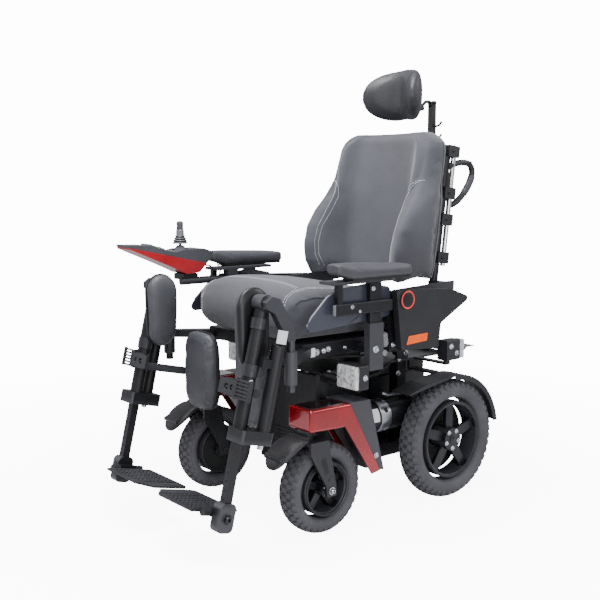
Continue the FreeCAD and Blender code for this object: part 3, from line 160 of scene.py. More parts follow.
finish("lens", (128, 132, 140), (255, 255, 255), 0.1, "cells", 0.009, 1.0, 45, 0.06,
       Transmission_Weight=0.25, IOR=1.49, Coat_Weight=0.8)
finish("knob", (84, 85, 90), (122, 123, 128), 0.5, "noise", 0.001, 0.2, 16)
# glow: emission; on the keypad lamp it is a lamp's light, on the charge socket it is painted light
finish("glow", (70, 150, 40), (130, 220, 70), 0.3, "noise", 0.001, 0.05, 30,
       Emission_Strength=0.6, Emission_Color=tone(120, 220, 60))

NODE_FINISH = {
    "powder": ("chassis_frame", "seat_frame", "back_frame", "caster_arm", "armrest_post", "hanger",
               "leg_frame",
               "foot_tube", "tilt_actuator", "headrest_stalk", "headrest_link", "joystick_mount"),
    "plastic": ("front_shroud", "rear_fender", "recline_cover", "footplate", "caster_fork", "push_handles",
                "lamp_housings", "power_module"),
    "plastic_grey": ("joystick_cover",),
    "shell": ("batteries", "gearmotor", "joystick_gimbal"),
    "smoked": ("side_guard",),
    "lacquer": ("arm_cover",),
    "red": ("joystick_base",),
    "rim": ("drive_rim", "caster_rim"),
    "lens": ("lamp_lenses",),
    "zinc": ("brake_lever", "tilt_rod"),
    "knob": ("power_button", "joystick_lever"),
}


def clothe(nodes):
    """Give every CAD node its finish."""
    for label, node in nodes.items():
        kind = next((k for k, names in NODE_FINISH.items() if label.startswith(names)), "skin")
        node.data.materials.clear()
        node.data.materials.append(FINISH[kind])


# ---- shapes ----

def circle(centre, across, beyond, radius, sides):
    """Points round a circle in the plane of two square directions."""
    turns = [2 * math.pi * step / sides for step in range(sides)]
    return [centre + (across * math.cos(turn) + beyond * math.sin(turn)) * radius for turn in turns]


class Shape:
    """Points and faces gathered into one piece."""

    def __init__(self):
        self.points = []
        self.faces = []

    def stack(self, rings, endless=False):
        """Join rings of equal length into a skin, with flat ends unless it is endless."""
        base, count = len(self.points), len(rings[0])
        for ring in rings:
            self.points.extend(Vector(point) for point in ring)
        last = len(rings) if endless else len(rings) - 1
        for level, step in product(range(last), range(count)):
            here, there = base + level * count, base + (level + 1) % len(rings) * count
            beside = (step + 1) % count
            self.faces.append((here + step, here + beside, there + beside, there + step))
        if not endless:
            self.faces.append(tuple(range(base + count - 1, base - 1, -1)))
            top = base + (len(rings) - 1) * count
            self.faces.append(tuple(range(top, top + count)))
        return self

    def turned(self, profile, origin, axis, sides=20, endless=False):
        """A profile of (along, radius) pairs turned about an axis."""
        across = axis.orthogonal().normalized()
        beyond = axis.cross(across)
        return self.stack([circle(origin + axis * along, across, beyond, radius, sides)
                           for along, radius in profile], endless)

    def washer(self, origin, axis, thick, inner, outer):
        """A flat ring."""
        return self.turned(((0, inner), (0, outer), (thick, outer), (thick, inner)), origin, axis, 48, True)

    def tube(self, path, radius, sides=8, endless=False):
        """A round bar along a path."""
        path = [Vector(point) for point in path]
        count = len(path)
        rings = []
        across = None
        for index, point in enumerate(path):
            ahead = path[(index + 1) % count] if endless or index + 1 < count else point
            behind = path[index - 1] if endless or index else point
            along = (ahead - behind).normalized()
            across = along.orthogonal() if across is None else across - along * across.dot(along)
            across.normalize()
            rings.append(circle(point, across, along.cross(across), radius, sides))
        return self.stack(rings, endless)

    def prism(self, outline, rise):
        """A flat outline pushed along a vector."""
        outline = [Vector(point) for point in outline]
        return self.stack([outline, [point + rise for point in outline]])

    def block(self, low, high):
        """A box between two corners."""
        floor = [(low[0], low[1], low[2]), (high[0], low[1], low[2]), (high[0], high[1], low[2]),
                 (low[0], high[1], low[2])]
        return self.prism(floor, UP * (high[2] - low[2]))

    def mirrored(self):
        """The same shape on the chair's other side."""
        twin = Shape()
        twin.points = [Vector((-point.x, point.y, point.z)) for point in self.points]
        twin.faces = [tuple(reversed(face)) for face in self.faces]
        return twin

    def piece(self, name, kind, body, slot, bevel=0, sharp=38, replaces=()):
        """Make the Blender object, ride it on its body and name its finish."""
        mesh = bpy.data.meshes.new(name)
        mesh.from_pydata(self.points, [], self.faces)
        work = bmesh.new()
        work.from_mesh(mesh)
        bmesh.ops.remove_doubles(work, verts=work.verts, dist=1e-6)
        bmesh.ops.recalc_face_normals(work, faces=work.faces)
        work.to_mesh(mesh)
        work.free()
        item = bpy.data.objects.new(name, mesh)
        bpy.context.scene.collection.objects.link(item)
        mesh.materials.append(FINISH[kind])
        mesh.shade_smooth()
        mesh.set_sharp_from_angle(angle=math.radians(sharp))
        if bevel:
            bevelled(item, bevel)
        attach(item, body)
        if replaces:
            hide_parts(*replaces)
        return item


def bevelled(item, width):
    """Round an object's sharp edges."""
    edge = item.modifiers.new("edge", "BEVEL")
    edge.width = width
    edge.segments = 2
    edge.limit_method = "ANGLE"
    edge.angle_limit = math.radians(40)


def refined(item):
    """Smooth an object by dividing its faces once."""
    fine = item.modifiers.new("fine", "SUBSURF")
    fine.levels = fine.render_levels = 1


def both(shape, name, kind, body, slot, bevel=0, sharp=38, replaces=()):
    """A left-hand piece and its right-hand twin; names hold a place for the side."""
    made = []
    for side, sign in SIDES:
        form = shape if sign > 0 else shape.mirrored()
        nodes = [label.format(side) for label in replaces]
        made.append(form.piece(name.format(side), kind, body.format(side), slot, bevel, sharp, nodes))
    return made


def smoothed(outline, rounds=2):
    """Cut the corners of a closed outline, again and again."""
    for _ in range(rounds):
        cut = []
        for index, point in enumerate(outline):
            after = outline[(index + 1) % len(outline)]
            cut.append(point.lerp(after, 0.25))
            cut.append(point.lerp(after, 0.75))
        outline = cut
    return outline


def superellipse(half_wide, half_high, power, count=40):
    """Points round a rounded rectangle."""
    points = []
    for step in range(count):
        turn = 2 * math.pi * step / count
        c, s = math.cos(turn), math.sin(turn)
        points.append((half_wide * math.copysign(abs(c) ** (2 / power), c),
                       half_high * math.copysign(abs(s) ** (2 / power), s)))
    return points


CLOTH_FRAMES = 20


def swell(item, voxel, pressure, cap, pinned=None):
    """Fill a cover with air by cloth simulation, keep its rise below a cap, and smooth it."""
    scene = bpy.context.scene
    bpy.context.view_layer.objects.active = item
    item.select_set(True)
    item.data.remesh_voxel_size = voxel
    bpy.ops.object.voxel_remesh()
    start = [point.co.copy() for point in item.data.vertices]
    cloth = item.modifiers.new("cloth", "CLOTH")
    cloth.settings.use_pressure = True
    cloth.settings.uniform_pressure_force = pressure
    cloth.settings.effector_weights.gravity = 0
    if pinned:
        group = item.vertex_groups.new(name="pinned")
        group.add([i for i, co in enumerate(start) if pinned(co)], 1, "REPLACE")
        cloth.settings.vertex_group_mass = "pinned"
    for moment in range(1, CLOTH_FRAMES + 1):
        scene.frame_set(moment)
    result = item.evaluated_get(bpy.context.evaluated_depsgraph_get()).data
    for index, before in enumerate(start):
        shift = result.vertices[index].co - before
        if shift.length > cap:
            shift *= cap / shift.length
        start[index] = before + shift
    item.modifiers.remove(cloth)
    item.vertex_groups.clear()
    for point, place in zip(item.data.vertices, start):
        point.co = place
    item.select_set(False)
    scene.frame_set(1)
    refined(item)
    item.data.shade_smooth()


def skin_of(item):
    """The surface of an object, its modifiers included, for laying things on."""
    return BVHTree.FromObject(item, bpy.context.evaluated_depsgraph_get())


STITCH = 0.0056
STITCH_GAP = 0.0018
THREAD_RADIUS = 0.0006
THREAD_LIFT = 0.0003


def stitches(name, rows, skin, body, slot):
    """Rows of thread laid on a skin, one short dash after another."""
    shape = Shape()
    for row in rows:
        dense = []
        for start, end in zip(row, row[1:]):
            steps = max(int((Vector(end) - Vector(start)).length / 0.001), 1)
            dense.extend(Vector(start).lerp(Vector(end), step / steps) for step in range(steps))
        laid = []
        for point in dense:
            place, normal = skin.find_nearest(point)[:2]
            laid.append(place + normal * THREAD_LIFT)
        walked, dash = 0.0, [laid[0]]
        for before, point in zip(laid, laid[1:]):
            walked += (point - before).length
            if walked > STITCH + STITCH_GAP:
                walked = 0.0
                dash = [point]
            elif walked < STITCH and (point - dash[-1]).length > 0.0009:
                dash.append(point)
            elif walked >= STITCH and len(dash) > 2:
                shape.tube(dash, THREAD_RADIUS, 6)
                dash = [point]
    return shape.piece(name, "thread", body, slot)


def node_skin(label):
    """The surface of a CAD node."""
    return skin_of(frame["nodes"][label])


def on_skin(skin, start, aim):
    """Where a ray from a start point meets a skin, and the skin's normal there."""
    place, normal = skin.ray_cast(Vector(start), Vector(aim))[:2]
    if place is None:
        place, normal = skin.find_nearest(Vector(start))[:2]
    return place, (normal if normal.dot(Vector(aim)) < 0 else -normal)


def bolt(shape, place, normal, radius=0.005):
    """A washer, a domed head and its socket."""
    r = radius
    shape.turned([(-0.4 * r, 1.5 * r), (0.2 * r, 1.5 * r), (0.3 * r, 1.4 * r), (0.3 * r, r),
                  (0.9 * r, 0.95 * r),
                  (1.15 * r, 0.75 * r), (1.2 * r, 0.5 * r), (0.7 * r, 0.45 * r)], place, normal, 14)


# ---- camera, light and floor ----

CAMERA_AZIMUTH = math.radians(50.59)
CAMERA_RISE = math.radians(7.3)
CAMERA_LENS = 56.19
CAMERA_TARGET = Vector((0.00571, -0.02383, 0.59654))
CAMERA_DISTANCE = 2.73354


def studio():
    """The camera, a pale floor that fades out, and soft lights."""
    scene = bpy.context.scene
    lens = bpy.data.cameras.new("camera")
    lens.lens = CAMERA_LENS
    lens.sensor_width = 36
    camera = bpy.data.objects.new("camera", lens)
    back = Vector((math.sin(CAMERA_AZIMUTH) * math.cos(CAMERA_RISE),
                   -math.cos(CAMERA_AZIMUTH) * math.cos(CAMERA_RISE), math.sin(CAMERA_RISE)))
    camera.location = CAMERA_TARGET + back * CAMERA_DISTANCE
    camera.rotation_mode = "QUATERNION"
    camera.rotation_quaternion = (-back).to_track_quat("-Z", "Y")
    scene.collection.objects.link(camera)
    scene.camera = camera

    world = bpy.data.worlds.new("studio")
    scene.world = world
    world.use_nodes = True
    tree = world.node_tree
    ground = tree.nodes["Background"]
    ground.inputs["Color"].default_value = (0.95, 0.97, 1, 1)
    ground.inputs["Strength"].default_value = 0.62
    bright = tree.nodes.new("ShaderNodeBackground")
    bright.inputs["Color"].default_value = (1, 1, 1, 1)
    bright.inputs["Strength"].default_value = 14
    mix = tree.nodes.new("ShaderNodeMixShader")
    tree.links.new(tree.nodes.new("ShaderNodeLightPath").outputs["Is Camera Ray"], mix.inputs[0])
    tree.links.new(ground.outputs[0], mix.inputs[1])
    tree.links.new(bright.outputs[0], mix.inputs[2])
    tree.links.new(mix.outputs[0], tree.nodes["World Output"].inputs[0])

    plane = bpy.data.meshes.new("floor")
    reach = 2.6
    plane.from_pydata([(-reach, -reach, 0), (reach, -reach, 0), (reach, reach, 0), (-reach, reach, 0)], [],
                      [(0, 1, 2, 3)])
    floor = bpy.data.objects.new("floor", plane)
    scene.collection.objects.link(floor)
    pale = bpy.data.materials.new("floor")
    pale.use_nodes = True
    tree = pale.node_tree
    shader = tree.nodes["Principled BSDF"]
    shader.inputs["Base Color"].default_value = (0.7, 0.7, 0.72, 1)
    shader.inputs["Roughness"].default_value = 0.85
    shader.inputs["Emission Color"].default_value = (1, 1, 1, 1)
    glow = tree.nodes.new("ShaderNodeMath")
    glow.operation = "MULTIPLY"
    glow.inputs[1].default_value = 9
    tree.links.new(tree.nodes.new("ShaderNodeLightPath").outputs["Is Camera Ray"], glow.inputs[0])
    tree.links.new(glow.outputs[0], shader.inputs["Emission Strength"])
    length = tree.nodes.new("ShaderNodeVectorMath")
    length.operation = "LENGTH"
    tree.links.new(tree.nodes.new("ShaderNodeTexCoord").outputs["Object"], length.inputs[0])
    fade = tree.nodes.new("ShaderNodeMapRange")
    fade.interpolation_type = "SMOOTHSTEP"
    fade.inputs["From Min"].default_value = 0.5
    fade.inputs["From Max"].default_value = 2.4
    fade.inputs["To Min"].default_value = 1
    fade.inputs["To Max"].default_value = 0
    tree.links.new(length.outputs["Value"], fade.inputs["Value"])
    tree.links.new(fade.outputs["Result"], shader.inputs["Alpha"])
    plane.materials.append(pale)

    for name, place, power, size in (("key", (2.6, -2.4, 2.6), 68, 1.6), ("fill", (-2.8, -2.6, 1.9), 24, 1.8),
                                     ("rim", (1.8, 2.8, 2.4), 40, 1.4), ("top", (0, -0.6, 3.2), 165, 1.4),
                                     ("low", (2.4, -0.6, 0.7), 16, 1.0)):
        light = bpy.data.lights.new(name, "AREA")
        light.energy = power
        light.size = size
        lamp = bpy.data.objects.new(name, light)
        lamp.location = place
        lamp.rotation_mode = "QUATERNION"
        lamp.rotation_quaternion = (CAMERA_TARGET - Vector(place)).to_track_quat("-Z", "Y")
        scene.collection.objects.link(lamp)


# ---- soft pieces ----

def seat_pad():
    """Seat cushion: a raised front, crowned top, side panels and double seams."""
    low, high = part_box("seat_cushion")
    # top line of the cushion in side view, as (y, z) from nose to heel
    crest = [(low.y + 0.004, high.z - 0.054), (low.y + 0.016, high.z - 0.027), (low.y + 0.042, high.z - 0.01),
             (low.y + 0.095, high.z - 0.003), (low.y + 0.19, high.z - 0.011), (low.y + 0.3, high.z - 0.032),
             (low.y + 0.39, high.z - 0.052), (high.y - 0.004, high.z - 0.063)]
    rings = []
    half = high.x - 0.006
    for row in range(35):
        t = row / 34
        y = low.y + 0.003 + (high.y - low.y - 0.006) * t
        top = rise_at(crest, y)
        nose = max(0.0, 1 - (y - low.y) / 0.05)
        bottom = low.z + 0.003 + 0.045 * nose ** 2
        trim = 0.03 * max(0.0, 1 - min(y - low.y, high.y - y) / 0.03) ** 2
        ring = []
        for x, z in superellipse(half - trim, 0.5, 5, 44):
            crown = 0.010 * (1 - (x / half) ** 2) if z > 0 else 0
            ring.append((x, y, (top + bottom) / 2 + z * (top - bottom) + crown))
        rings.append(ring)
    pad = Shape().stack(rings).piece("seat_pad", "fabric", "seat", "seat_fabric", 0, 180, ["seat_cushion"])
    swell(pad, 0.0065, 3.5, 0.008, lambda p: p.z < low.z + 0.012 or abs(abs(p.x) - 0.19) < 0.003)
    skin = skin_of(pad)
    rows = []
    for x in (0.186, 0.194):
        for sign in (-1, 1):
            line = [(sign * x, low.y, low.z + 0.05), (sign * x, low.y - 0.004, high.z - 0.055)]
            line += [(sign * x, y, z + 0.004) for y, z in crest]
            rows.append(line)
    for y in (low.y + 0.062, low.y + 0.07):
        rows.append([(x / 100, y, high.z) for x in range(-18, 19)])
    stitches("seat_stitching", rows, skin, "seat", "seat_fabric")
    panel = Shape()
    for sign in (-1, 1):
        line = []
        for step in range(41):
            y = low.y + 0.02 + (high.y - low.y - 0.03) * step / 40
            z = rise_at(crest, y) - 0.022
            line.append(skin.find_nearest(Vector((sign * (half + 0.01), y, z)))[0])
        panel.tube(line, 0.0016, 8)
    panel.piece("seat_piping", "fabric_side", "seat", "seat_fabric")


def rise_at(line, y):
    """Height at y of a straight-sided line through (y, z) points."""
    if y <= line[0][0]:
        return line[0][1]
    for (y0, z0), (y1, z1) in zip(line, line[1:]):
        if y <= y1:
            return z0 + (z1 - z0) * (y - y0) / (y1 - y0)
    return line[-1][1]


LEAN = math.radians(7.2)
BACK_FOOT = Vector((0, 0.354, 0.629))


def reclined(x, y, z):
    """A point given along the back's own axes, in the frame."""
    along, rise = y * math.cos(LEAN) + z * math.sin(LEAN), z * math.cos(LEAN) - y * math.sin(LEAN)
    return BACK_FOOT + Vector((x, along, rise))


# side wings of the back cushion: height, half width and how far forward they reach
WINGS = [(0.015, 0.205, 0.176), (0.05, 0.212, 0.198), (0.09, 0.217, 0.205), (0.15, 0.22, 0.196),
         (0.2, 0.22, 0.174), (0.26, 0.217, 0.138), (0.31, 0.211, 0.116), (0.36, 0.208, 0.108),
         (0.41, 0.205, 0.1), (0.43, 0.199, 0.094), (0.446, 0.186, 0.088), (0.46, 0.16, 0.076)]


def back_ring(z):
    """The back cushion's outline at a height, on the back's own axes."""
    half = rise_at([(row[0], row[1]) for row in WINGS], z)
    reach = rise_at([(row[0], row[2]) for row in WINGS], z)
    rear = -0.017
    front = -0.074
    if z > 0.42:
        ease = (z - 0.42) / 0.042
        rear -= 0.016 * ease ** 2
        front += 0.014 * ease ** 2
    reach = max(reach, -front)
    inner = half - 0.054
    side = [(half - 0.02, rear), (half - 0.004, rear - 0.008), (half, rear - 0.03),
            (half + 0.001, -reach * 0.62),
            (half - 0.002, -reach + 0.016), (half - 0.014, -reach - 0.001), (half - 0.032, -reach + 0.004),
            (inner, -reach * 0.86 + front * 0.14), (inner - 0.014, -reach * 0.4 + front * 0.6),
            (inner - 0.036, front - 0.002), (inner - 0.08, front + 0.001)]
    loop = [(0, rear)] + side + [(0, front + 0.003)] + [(-x, y) for x, y in reversed(side)]
    low = max(0.0, 1 - (z - 0.015) / 0.09)
    ring = []
    for point in smoothed([Vector((x, y, 0)) for x, y in loop]):
        drop = 0.02 * low * min(max((-point.y - 0.12) / 0.05, 0.0), 1.0)
        ring.append(reclined(point.x, point.y, z - drop))
    return ring


def back_pad():
    """Back cushion with its wings, rounded top and stitched channels."""
    levels = [0.017 + 0.443 * step / 40 for step in range(41)]
    shape = Shape().stack([back_ring(z) for z in levels])
    pad = shape.piece("back_pad", "fabric", "back", "seat_fabric", 0, 180, ["back_cushion"])
    seam = [(0.303, 0.192), (0.3, 0.178), (0.292, 0.165), (0.278, 0.156), (0.25, 0.152), (0.2, 0.156),
            (0.15, 0.162), (0.1, 0.163), (0.06, 0.159), (0.025, 0.15)]
    swell(pad, 0.007, 3.5, 0.007)
    skin = skin_of(pad)
    rows = []
    for sign, shift in product((-1, 1), (0, 0.009)):
        line = []
        for height, x in seam:
            start = reclined(sign * (x + shift), -0.4, height)
            line.append(on_skin(skin, start, reclined(0, 1, 0) - reclined(0, 0, 0))[0])
        rows.append(line)
    stitches("back_stitching", rows, skin, "back", "seat_fabric")
    panel = Shape()
    for sign in (-1, 1):
        line = []
        for step in range(61):
            height = 0.03 + 0.395 * step / 60
            line.append(on_skin(skin, reclined(sign * 0.4, -0.04, height), (-sign, 0, 0))[0])
        panel.tube(line, 0.0014, 8)
    panel.piece("back_piping", "fabric_side", "back", "seat_fabric")


def head_pad():
    """Headrest: a wide pad that wraps forward at both ends."""
    low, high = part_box("headrest_pad")
    middle = (low.z + high.z) / 2 + 0.002
    deep = high.y - 0.054
    rings = []
    for step in range(37):
        u = -0.995 + 1.99 * step / 36
        ahead = 0.084 * abs(u) ** 2.2
        centre = Vector((u * 0.103, deep - ahead, middle - 0.006 * abs(u)))
        slope = math.atan2(0.084 * 2.2 * abs(u) ** 1.2 * math.copysign(1, u), 0.103)
        through = Vector((math.sin(slope), math.cos(slope), 0))
        tall = 0.078 * (1 - abs(u) ** 3.2) ** 0.5 + 0.004
        thick = 0.023 * (1 - abs(u) ** 4) ** 0.5 + 0.003
        ring = []
        for across, rise in superellipse(thick, tall, 2.5, 36):
            ring.append(centre + through * across + UP * rise)
        rings.append(ring)
    pad = Shape().stack(rings).piece("head_pad", "skin", "headrest_pad", "head_skin", 0, 180,
                                     ["headrest_pad"])
    swell(pad, 0.0045, 4, 0.006)
    skin = skin_of(pad)
    line = []
    for step in range(25):
        z = middle - 0.066 + 0.132 * step / 24
        line.append(on_skin(skin, (0.07, low.y - 0.2, z), (0, 1, 0))[0])
    Shape().tube(line, 0.0011, 6).piece("head_creases", "shell", "headrest_pad", "head_skin")
    mount = Shape()
    for side in (-1, 1):
        mount.block((side * 0.014 - 0.003, 0.428, middle - 0.05),
                    (side * 0.014 + 0.003, 0.462, middle - 0.008))
    mount.block((-0.03, 0.424, middle - 0.06), (0.03, 0.431, middle + 0.02))
    mount.turned([(-0.02, 0.006), (0.02, 0.006)], Vector((0, 0.452, 1.178)), OUT, 16)
    mount.piece("head_bracket", "powder", "headrest_pad", "frame_black", 0.001)


def arm_pads():
    """Armrest pads: grained skin over foam on a black moulded tray."""
    low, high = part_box("arm_pad_left")
    middle = (low.x + high.x) / 2
    rings = []
    for step in range(41):
        t = step / 40
        y = low.y + 0.002 + (high.y - low.y - 0.004) * t
        end = min(y - low.y, high.y - y)
        trim = 1 - 0.34 * max(0.0, 1 - end / 0.016) ** 2
        top = high.z - 0.002 - 0.013 * t
        bottom = low.z + 0.005 + 0.016 * max(0.0, 1 - (y - low.y) / 0.06)
        ring = []
        for x, z in superellipse(0.0275 * trim, 0.5, 4.5, 32):
            ring.append((middle + x, y, (top + bottom) / 2 + z * (top - bottom) * (0.6 + 0.4 * trim)))
        rings.append(ring)
    shape = Shape().stack(rings)
    pads = both(shape, "arm_pad_{}_cover", "pad_skin", "armrest_{}", "arm_pad_skin", 0, 180, ["arm_pad_{}"])
    for pad in pads:
        swell(pad, 0.0045, 3, 0.003)
    tray = Shape().block((low.x + 0.008, low.y + 0.058, low.z),
                         (high.x - 0.008, high.y - 0.008, low.z + 0.012))
    tray.prism([(low.x + 0.01, low.y + 0.012, low.z + 0.024), (low.x + 0.01, low.y + 0.06, low.z + 0.004),
                (low.x + 0.01, low.y + 0.06, low.z + 0.022)], OUT * (high.x - low.x - 0.02))
    both(tray, "arm_tray_{}", "dark", "armrest_{}", "panel_plastic", 0.0015)


def knee_pads():
    """Knee pads on moulded shells."""
    centre, half, radius = Vector((0, -0.356, 0.572)), 0.056, 0.048
    outline = []
    for step in range(48):
        turn = 2 * math.pi * step / 48
        rise = half if math.sin(turn) >= 0 else -half
        narrow = 0.94 if rise < 0 else 1.0
        lift = UP * (rise + radius * math.sin(turn))
        outline.append(centre + REAR * radius * narrow * math.cos(turn) + lift)

    def layer(x, inset):
        return [Vector((x, p.y, p.z)) - (p - centre).normalized() * inset for p in outline]

    knee = Shape().stack([layer(0.1955, 0.038), layer(0.197, 0.028), layer(0.2, 0.018), layer(0.2045, 0.0095),
                          layer(0.2105, 0.0035), layer(0.217, 0.0005), layer(0.222, 0.001),
                          layer(0.225, 0.004)])
    for pad in both(knee, "knee_pad_{}", "pad_skin", "leg_{}", "leg_pad_skin", 0, 180, ["leg_pads_{}"]):
        swell(pad, 0.0045, 3, 0.003)
    shell = Shape().stack([layer(0.221, -0.001), layer(0.226, -0.0015), layer(0.229, 0.0),
                           layer(0.232, 0.006),
                           layer(0.2345, 0.014), layer(0.235, 0.024)])
    both(shell, "knee_shell_{}", "shell", "leg_{}", "leg_black", 0.0006)
    hub = Shape().turned([(0, 0.013), (0.004, 0.013)], Vector((0.234, KNEE_Y, KNEE_Z)), OUT, 20)
    both(hub, "knee_stub_{}", "powder", "leg_{}", "leg_black")


def calf_pads():
    """Calf pads on moulded shells."""
    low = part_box("leg_pads_left")[0]
    side, top, front, rear = 0.2, 0.515, -0.304, -0.262
    middle = Vector(((low.x + side) / 2, 0, (low.z + top) / 2))

    def face(y, inset):
        wide, tall = (side - low.x) / 2 - inset, (top - low.z) / 2 - inset
        return [Vector((middle.x + x, y, middle.z + z)) for x, z in superellipse(wide, tall, 3.6, 56)]

    calf = Shape().stack([face(front + 0.004, 0.040), face(front + 0.003, 0.020), face(front + 0.006, 0.009),
                          face(front + 0.014, 0.002), face(front + 0.024, 0.001), face(front + 0.03, 0.004)])
    for pad in both(calf, "calf_pad_{}", "pad_skin", "leg_{}", "leg_pad_skin", 0, 180):
        swell(pad, 0.005, 3, 0.003)
    rim = Shape().stack([face(front + 0.026, 0.002), face(front + 0.031, 0.001), face(front + 0.035, 0.002),
                         face(rear - 0.002, 0.010), face(rear, 0.016)])
    both(rim, "calf_shell_{}", "shell", "leg_{}", "leg_black", 0.0006)


# ---- wheels ----

def tyre(centre, width, radius, bore, lugs):
    """A pneumatic tyre with a blocky tread.

    A zone is an angle round the tyre's section, and the kind of lug there."""
    depth = 0.0065 if radius > 0.15 else 0.0055
    half = width / 2 - 0.001
    middle = (radius + bore) / 2
    tall = (radius - bore) / 2
    zones = [(-150, 0), (-138, 0), (-122, 0), (-106, 0), (-96, 0), (-93, 3), (-88, 3), (-85, 0), (-76, 0),
             (-69, 0), (-67, 1), (-54, 1), (-41, 1), (-39, 0), (-36, 0), (-34, 2), (-24, 2), (-13, 2),
             (-11, 0),
             (-9, 0), (-7, 1), (0, 1)]
    zones += [(-angle, kind) for angle, kind in reversed(zones[:-1])]
    marks = (0.0, 0.05, 0.13, 0.18, 0.5, 0.55, 0.63, 0.68)
    rings = []
    for lug, mark in product(range(lugs), marks):
        turn = 2 * math.pi * (lug + mark) / lugs
        ring = []
        for angle, kind in zones:
            c, s = math.cos(math.radians(angle)), math.sin(math.radians(angle))
            x = half * math.copysign(abs(s) ** 0.8, s)
            out = middle + (tall - depth) * math.copysign(abs(c) ** 0.8, c)
            raised = {0: 0, 1: 0.05 <= mark <= 0.63, 2: mark >= 0.55 or mark <= 0.13, 3: 0.16}[kind]
            shift = depth * raised
            x += 0.35 * shift * s
            out += shift * c
            ring.append(centre + Vector((x, out * math.cos(turn), out * math.sin(turn))))
        rings.append(ring)
    return Shape().stack(rings, endless=True)


# label, rim opening, lugs, bolt circle, bolts, bolt size and half a spoke's width
WHEELS = (("drive", 0.1155, 44, 0.027, 5, 0.0046, 0.0155), ("caster", 0.0745, 34, 0.013, 3, 0.003, 0.0092))


def wheels():
    """Tyres with lugs, rim lips, broad spokes, wheel bolts, hub caps and dark backing rings."""
    for label, bore, lugs, ring_radius, count, bolt_radius, half in WHEELS:
        low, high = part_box(f"{label}_tyre_left")
        centre = (low + high) / 2
        radius = (high.z - low.z) / 2
        body = f"{label}_wheel_{{}}"
        both(tyre(centre, high.x - low.x, radius, bore, lugs), label + "_tyre_{}_lugged", "rubber", body,
             "tyre_rubber", 0, 30, [label + "_tyre_{}"])
        rim_low, rim_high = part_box(f"{label}_rim_left")
        face = rim_high.x
        lip = Shape()
        for x in (face - 0.002, rim_low.x + 0.002):
            lip.tube(circle(Vector((x, centre.y, centre.z)), REAR, UP, bore - 0.004, 72), 0.0032, 8, True)
        both(lip, label + "_rim_lip_{}", "rim", body, "rim_black")
        skin = node_skin(label + "_rim_left")
        near = on_skin(skin, centre + OUT * 0.1 + UP * 0.6 * bore, -OUT)[0].x
        front = centre + OUT * (near - centre.x + 0.0018)
        blade = ((ring_radius, 0), (ring_radius, half * 0.75), (bore * 0.45, half), (bore * 0.8, half * 0.92),
                 (bore - 0.006, half * 1.25), (bore - 0.006, 0))
        blades = Shape()
        for k in range(5):
            turn = 2 * math.pi * k / 5
            outward = Vector((0, -math.sin(turn), math.cos(turn)))
            aside = Vector((0, math.cos(turn), math.sin(turn)))
            for sign in (-1, 1):
                outline = [front + outward * r + aside * w * sign for r, w in blade]
                blades.prism(outline, OUT * -0.009)
        both(blades, label + "_spokes_{}", "rim", body, "rim_black", 0.0015)
        studs = Shape()
        for k in range(count):
            turn = 2 * math.pi * (k + 0.5) / count + math.pi / 2
            place = Vector((face - 0.001, centre.y + ring_radius * math.cos(turn),
                            centre.z + ring_radius * math.sin(turn)))
            bolt(studs, place, OUT, bolt_radius)
        both(studs, label + "_bolts_{}", "zinc", body, "rod_steel")
        profile = [(-0.004, 0.4 * ring_radius), (0.002, 0.42 * ring_radius), (0.0035, 0.3 * ring_radius)]
        cap = Shape().turned(profile, Vector((face, centre.y, centre.z)), OUT, 24)
        both(cap, label + "_cap_{}", "rim", body, "rim_black")
        if label == "drive":
            dish = Shape().washer(centre + OUT * (0.2135 - centre.x), OUT, 0.007, 0.02, bore - 0.004)
            both(dish, "drive_backing_{}", "dark", "base", "motor_black")
        else:
            dish = Shape().washer(centre + OUT * (low.x + 0.012 - centre.x), OUT, 0.003, 0.014, bore - 0.004)
            both(dish, "caster_dish_{}", "dark", body, "rim_black")


# ---- trim on the frame ----

def back_trim():
    """Chrome rails and clamps on the back posts."""
    chrome, clamps = Shape(), Shape()
    for sign in (-1, 1):
        x = sign * 0.184
        chrome.tube([reclined(sign * 0.187, 0.0245, 0.06 + 0.355 * k / 6) for k in range(7)], 0.0078, 14)
        for height in (0.085, 0.2, 0.28, 0.405):
            middle = reclined(x, 0.008, height)
            corners = [(-0.016, -0.019), (0.016, -0.019), (0.016, 0.028), (-0.016, 0.028)]
            outline = [reclined(x + a, 0.008 + b, height - 0.017) for a, b in corners]
            clamps.prism(outline, (reclined(0, 0, 1) - reclined(0, 0, 0)) * 0.034)
            bolt(clamps, middle + OUT * sign * 0.016, OUT * sign, 0.0035)
    chrome.piece("back_post_chrome", "chrome", "back", "rod_steel")
    clamps.piece("back_post_clamps", "plastic", "back", "frame_black", 0.0015)


def push_handles():
    """Looped push handles with grey grips."""
    loops, grips = Shape(), Shape()
    curve = [(0.395, 0.975), (0.42, 0.99), (0.46, 0.998), (0.495, 0.997), (0.512, 0.986), (0.517, 0.966),
             (0.509, 0.942), (0.492, 0.917), (0.468, 0.893), (0.44, 0.873), (0.41, 0.866)]
    for sign in (-1, 1):
        x = sign * 0.185
        loops.tube([(x, y, z) for y, z in curve], 0.0098, 16)
        loops.block((x - 0.011, 0.392, 0.868), (x + 0.011, 0.41, 1.0))
        grips.tube([(x, y, z) for y, z in curve[5:9]], 0.0114, 16)
        for y, z in ((0.497, 0.996), (0.405, 0.986)):
            bolt(loops, Vector((x + sign * 0.0085, y, z)), OUT * sign, 0.004)
    for item in (loops.piece("push_loops", "plastic", "back", "handle_rubber", 0, 40, ["push_handles"]),
                 grips.piece("push_grips", "plastic_grey", "back", "handle_rubber")):
        refined(item)


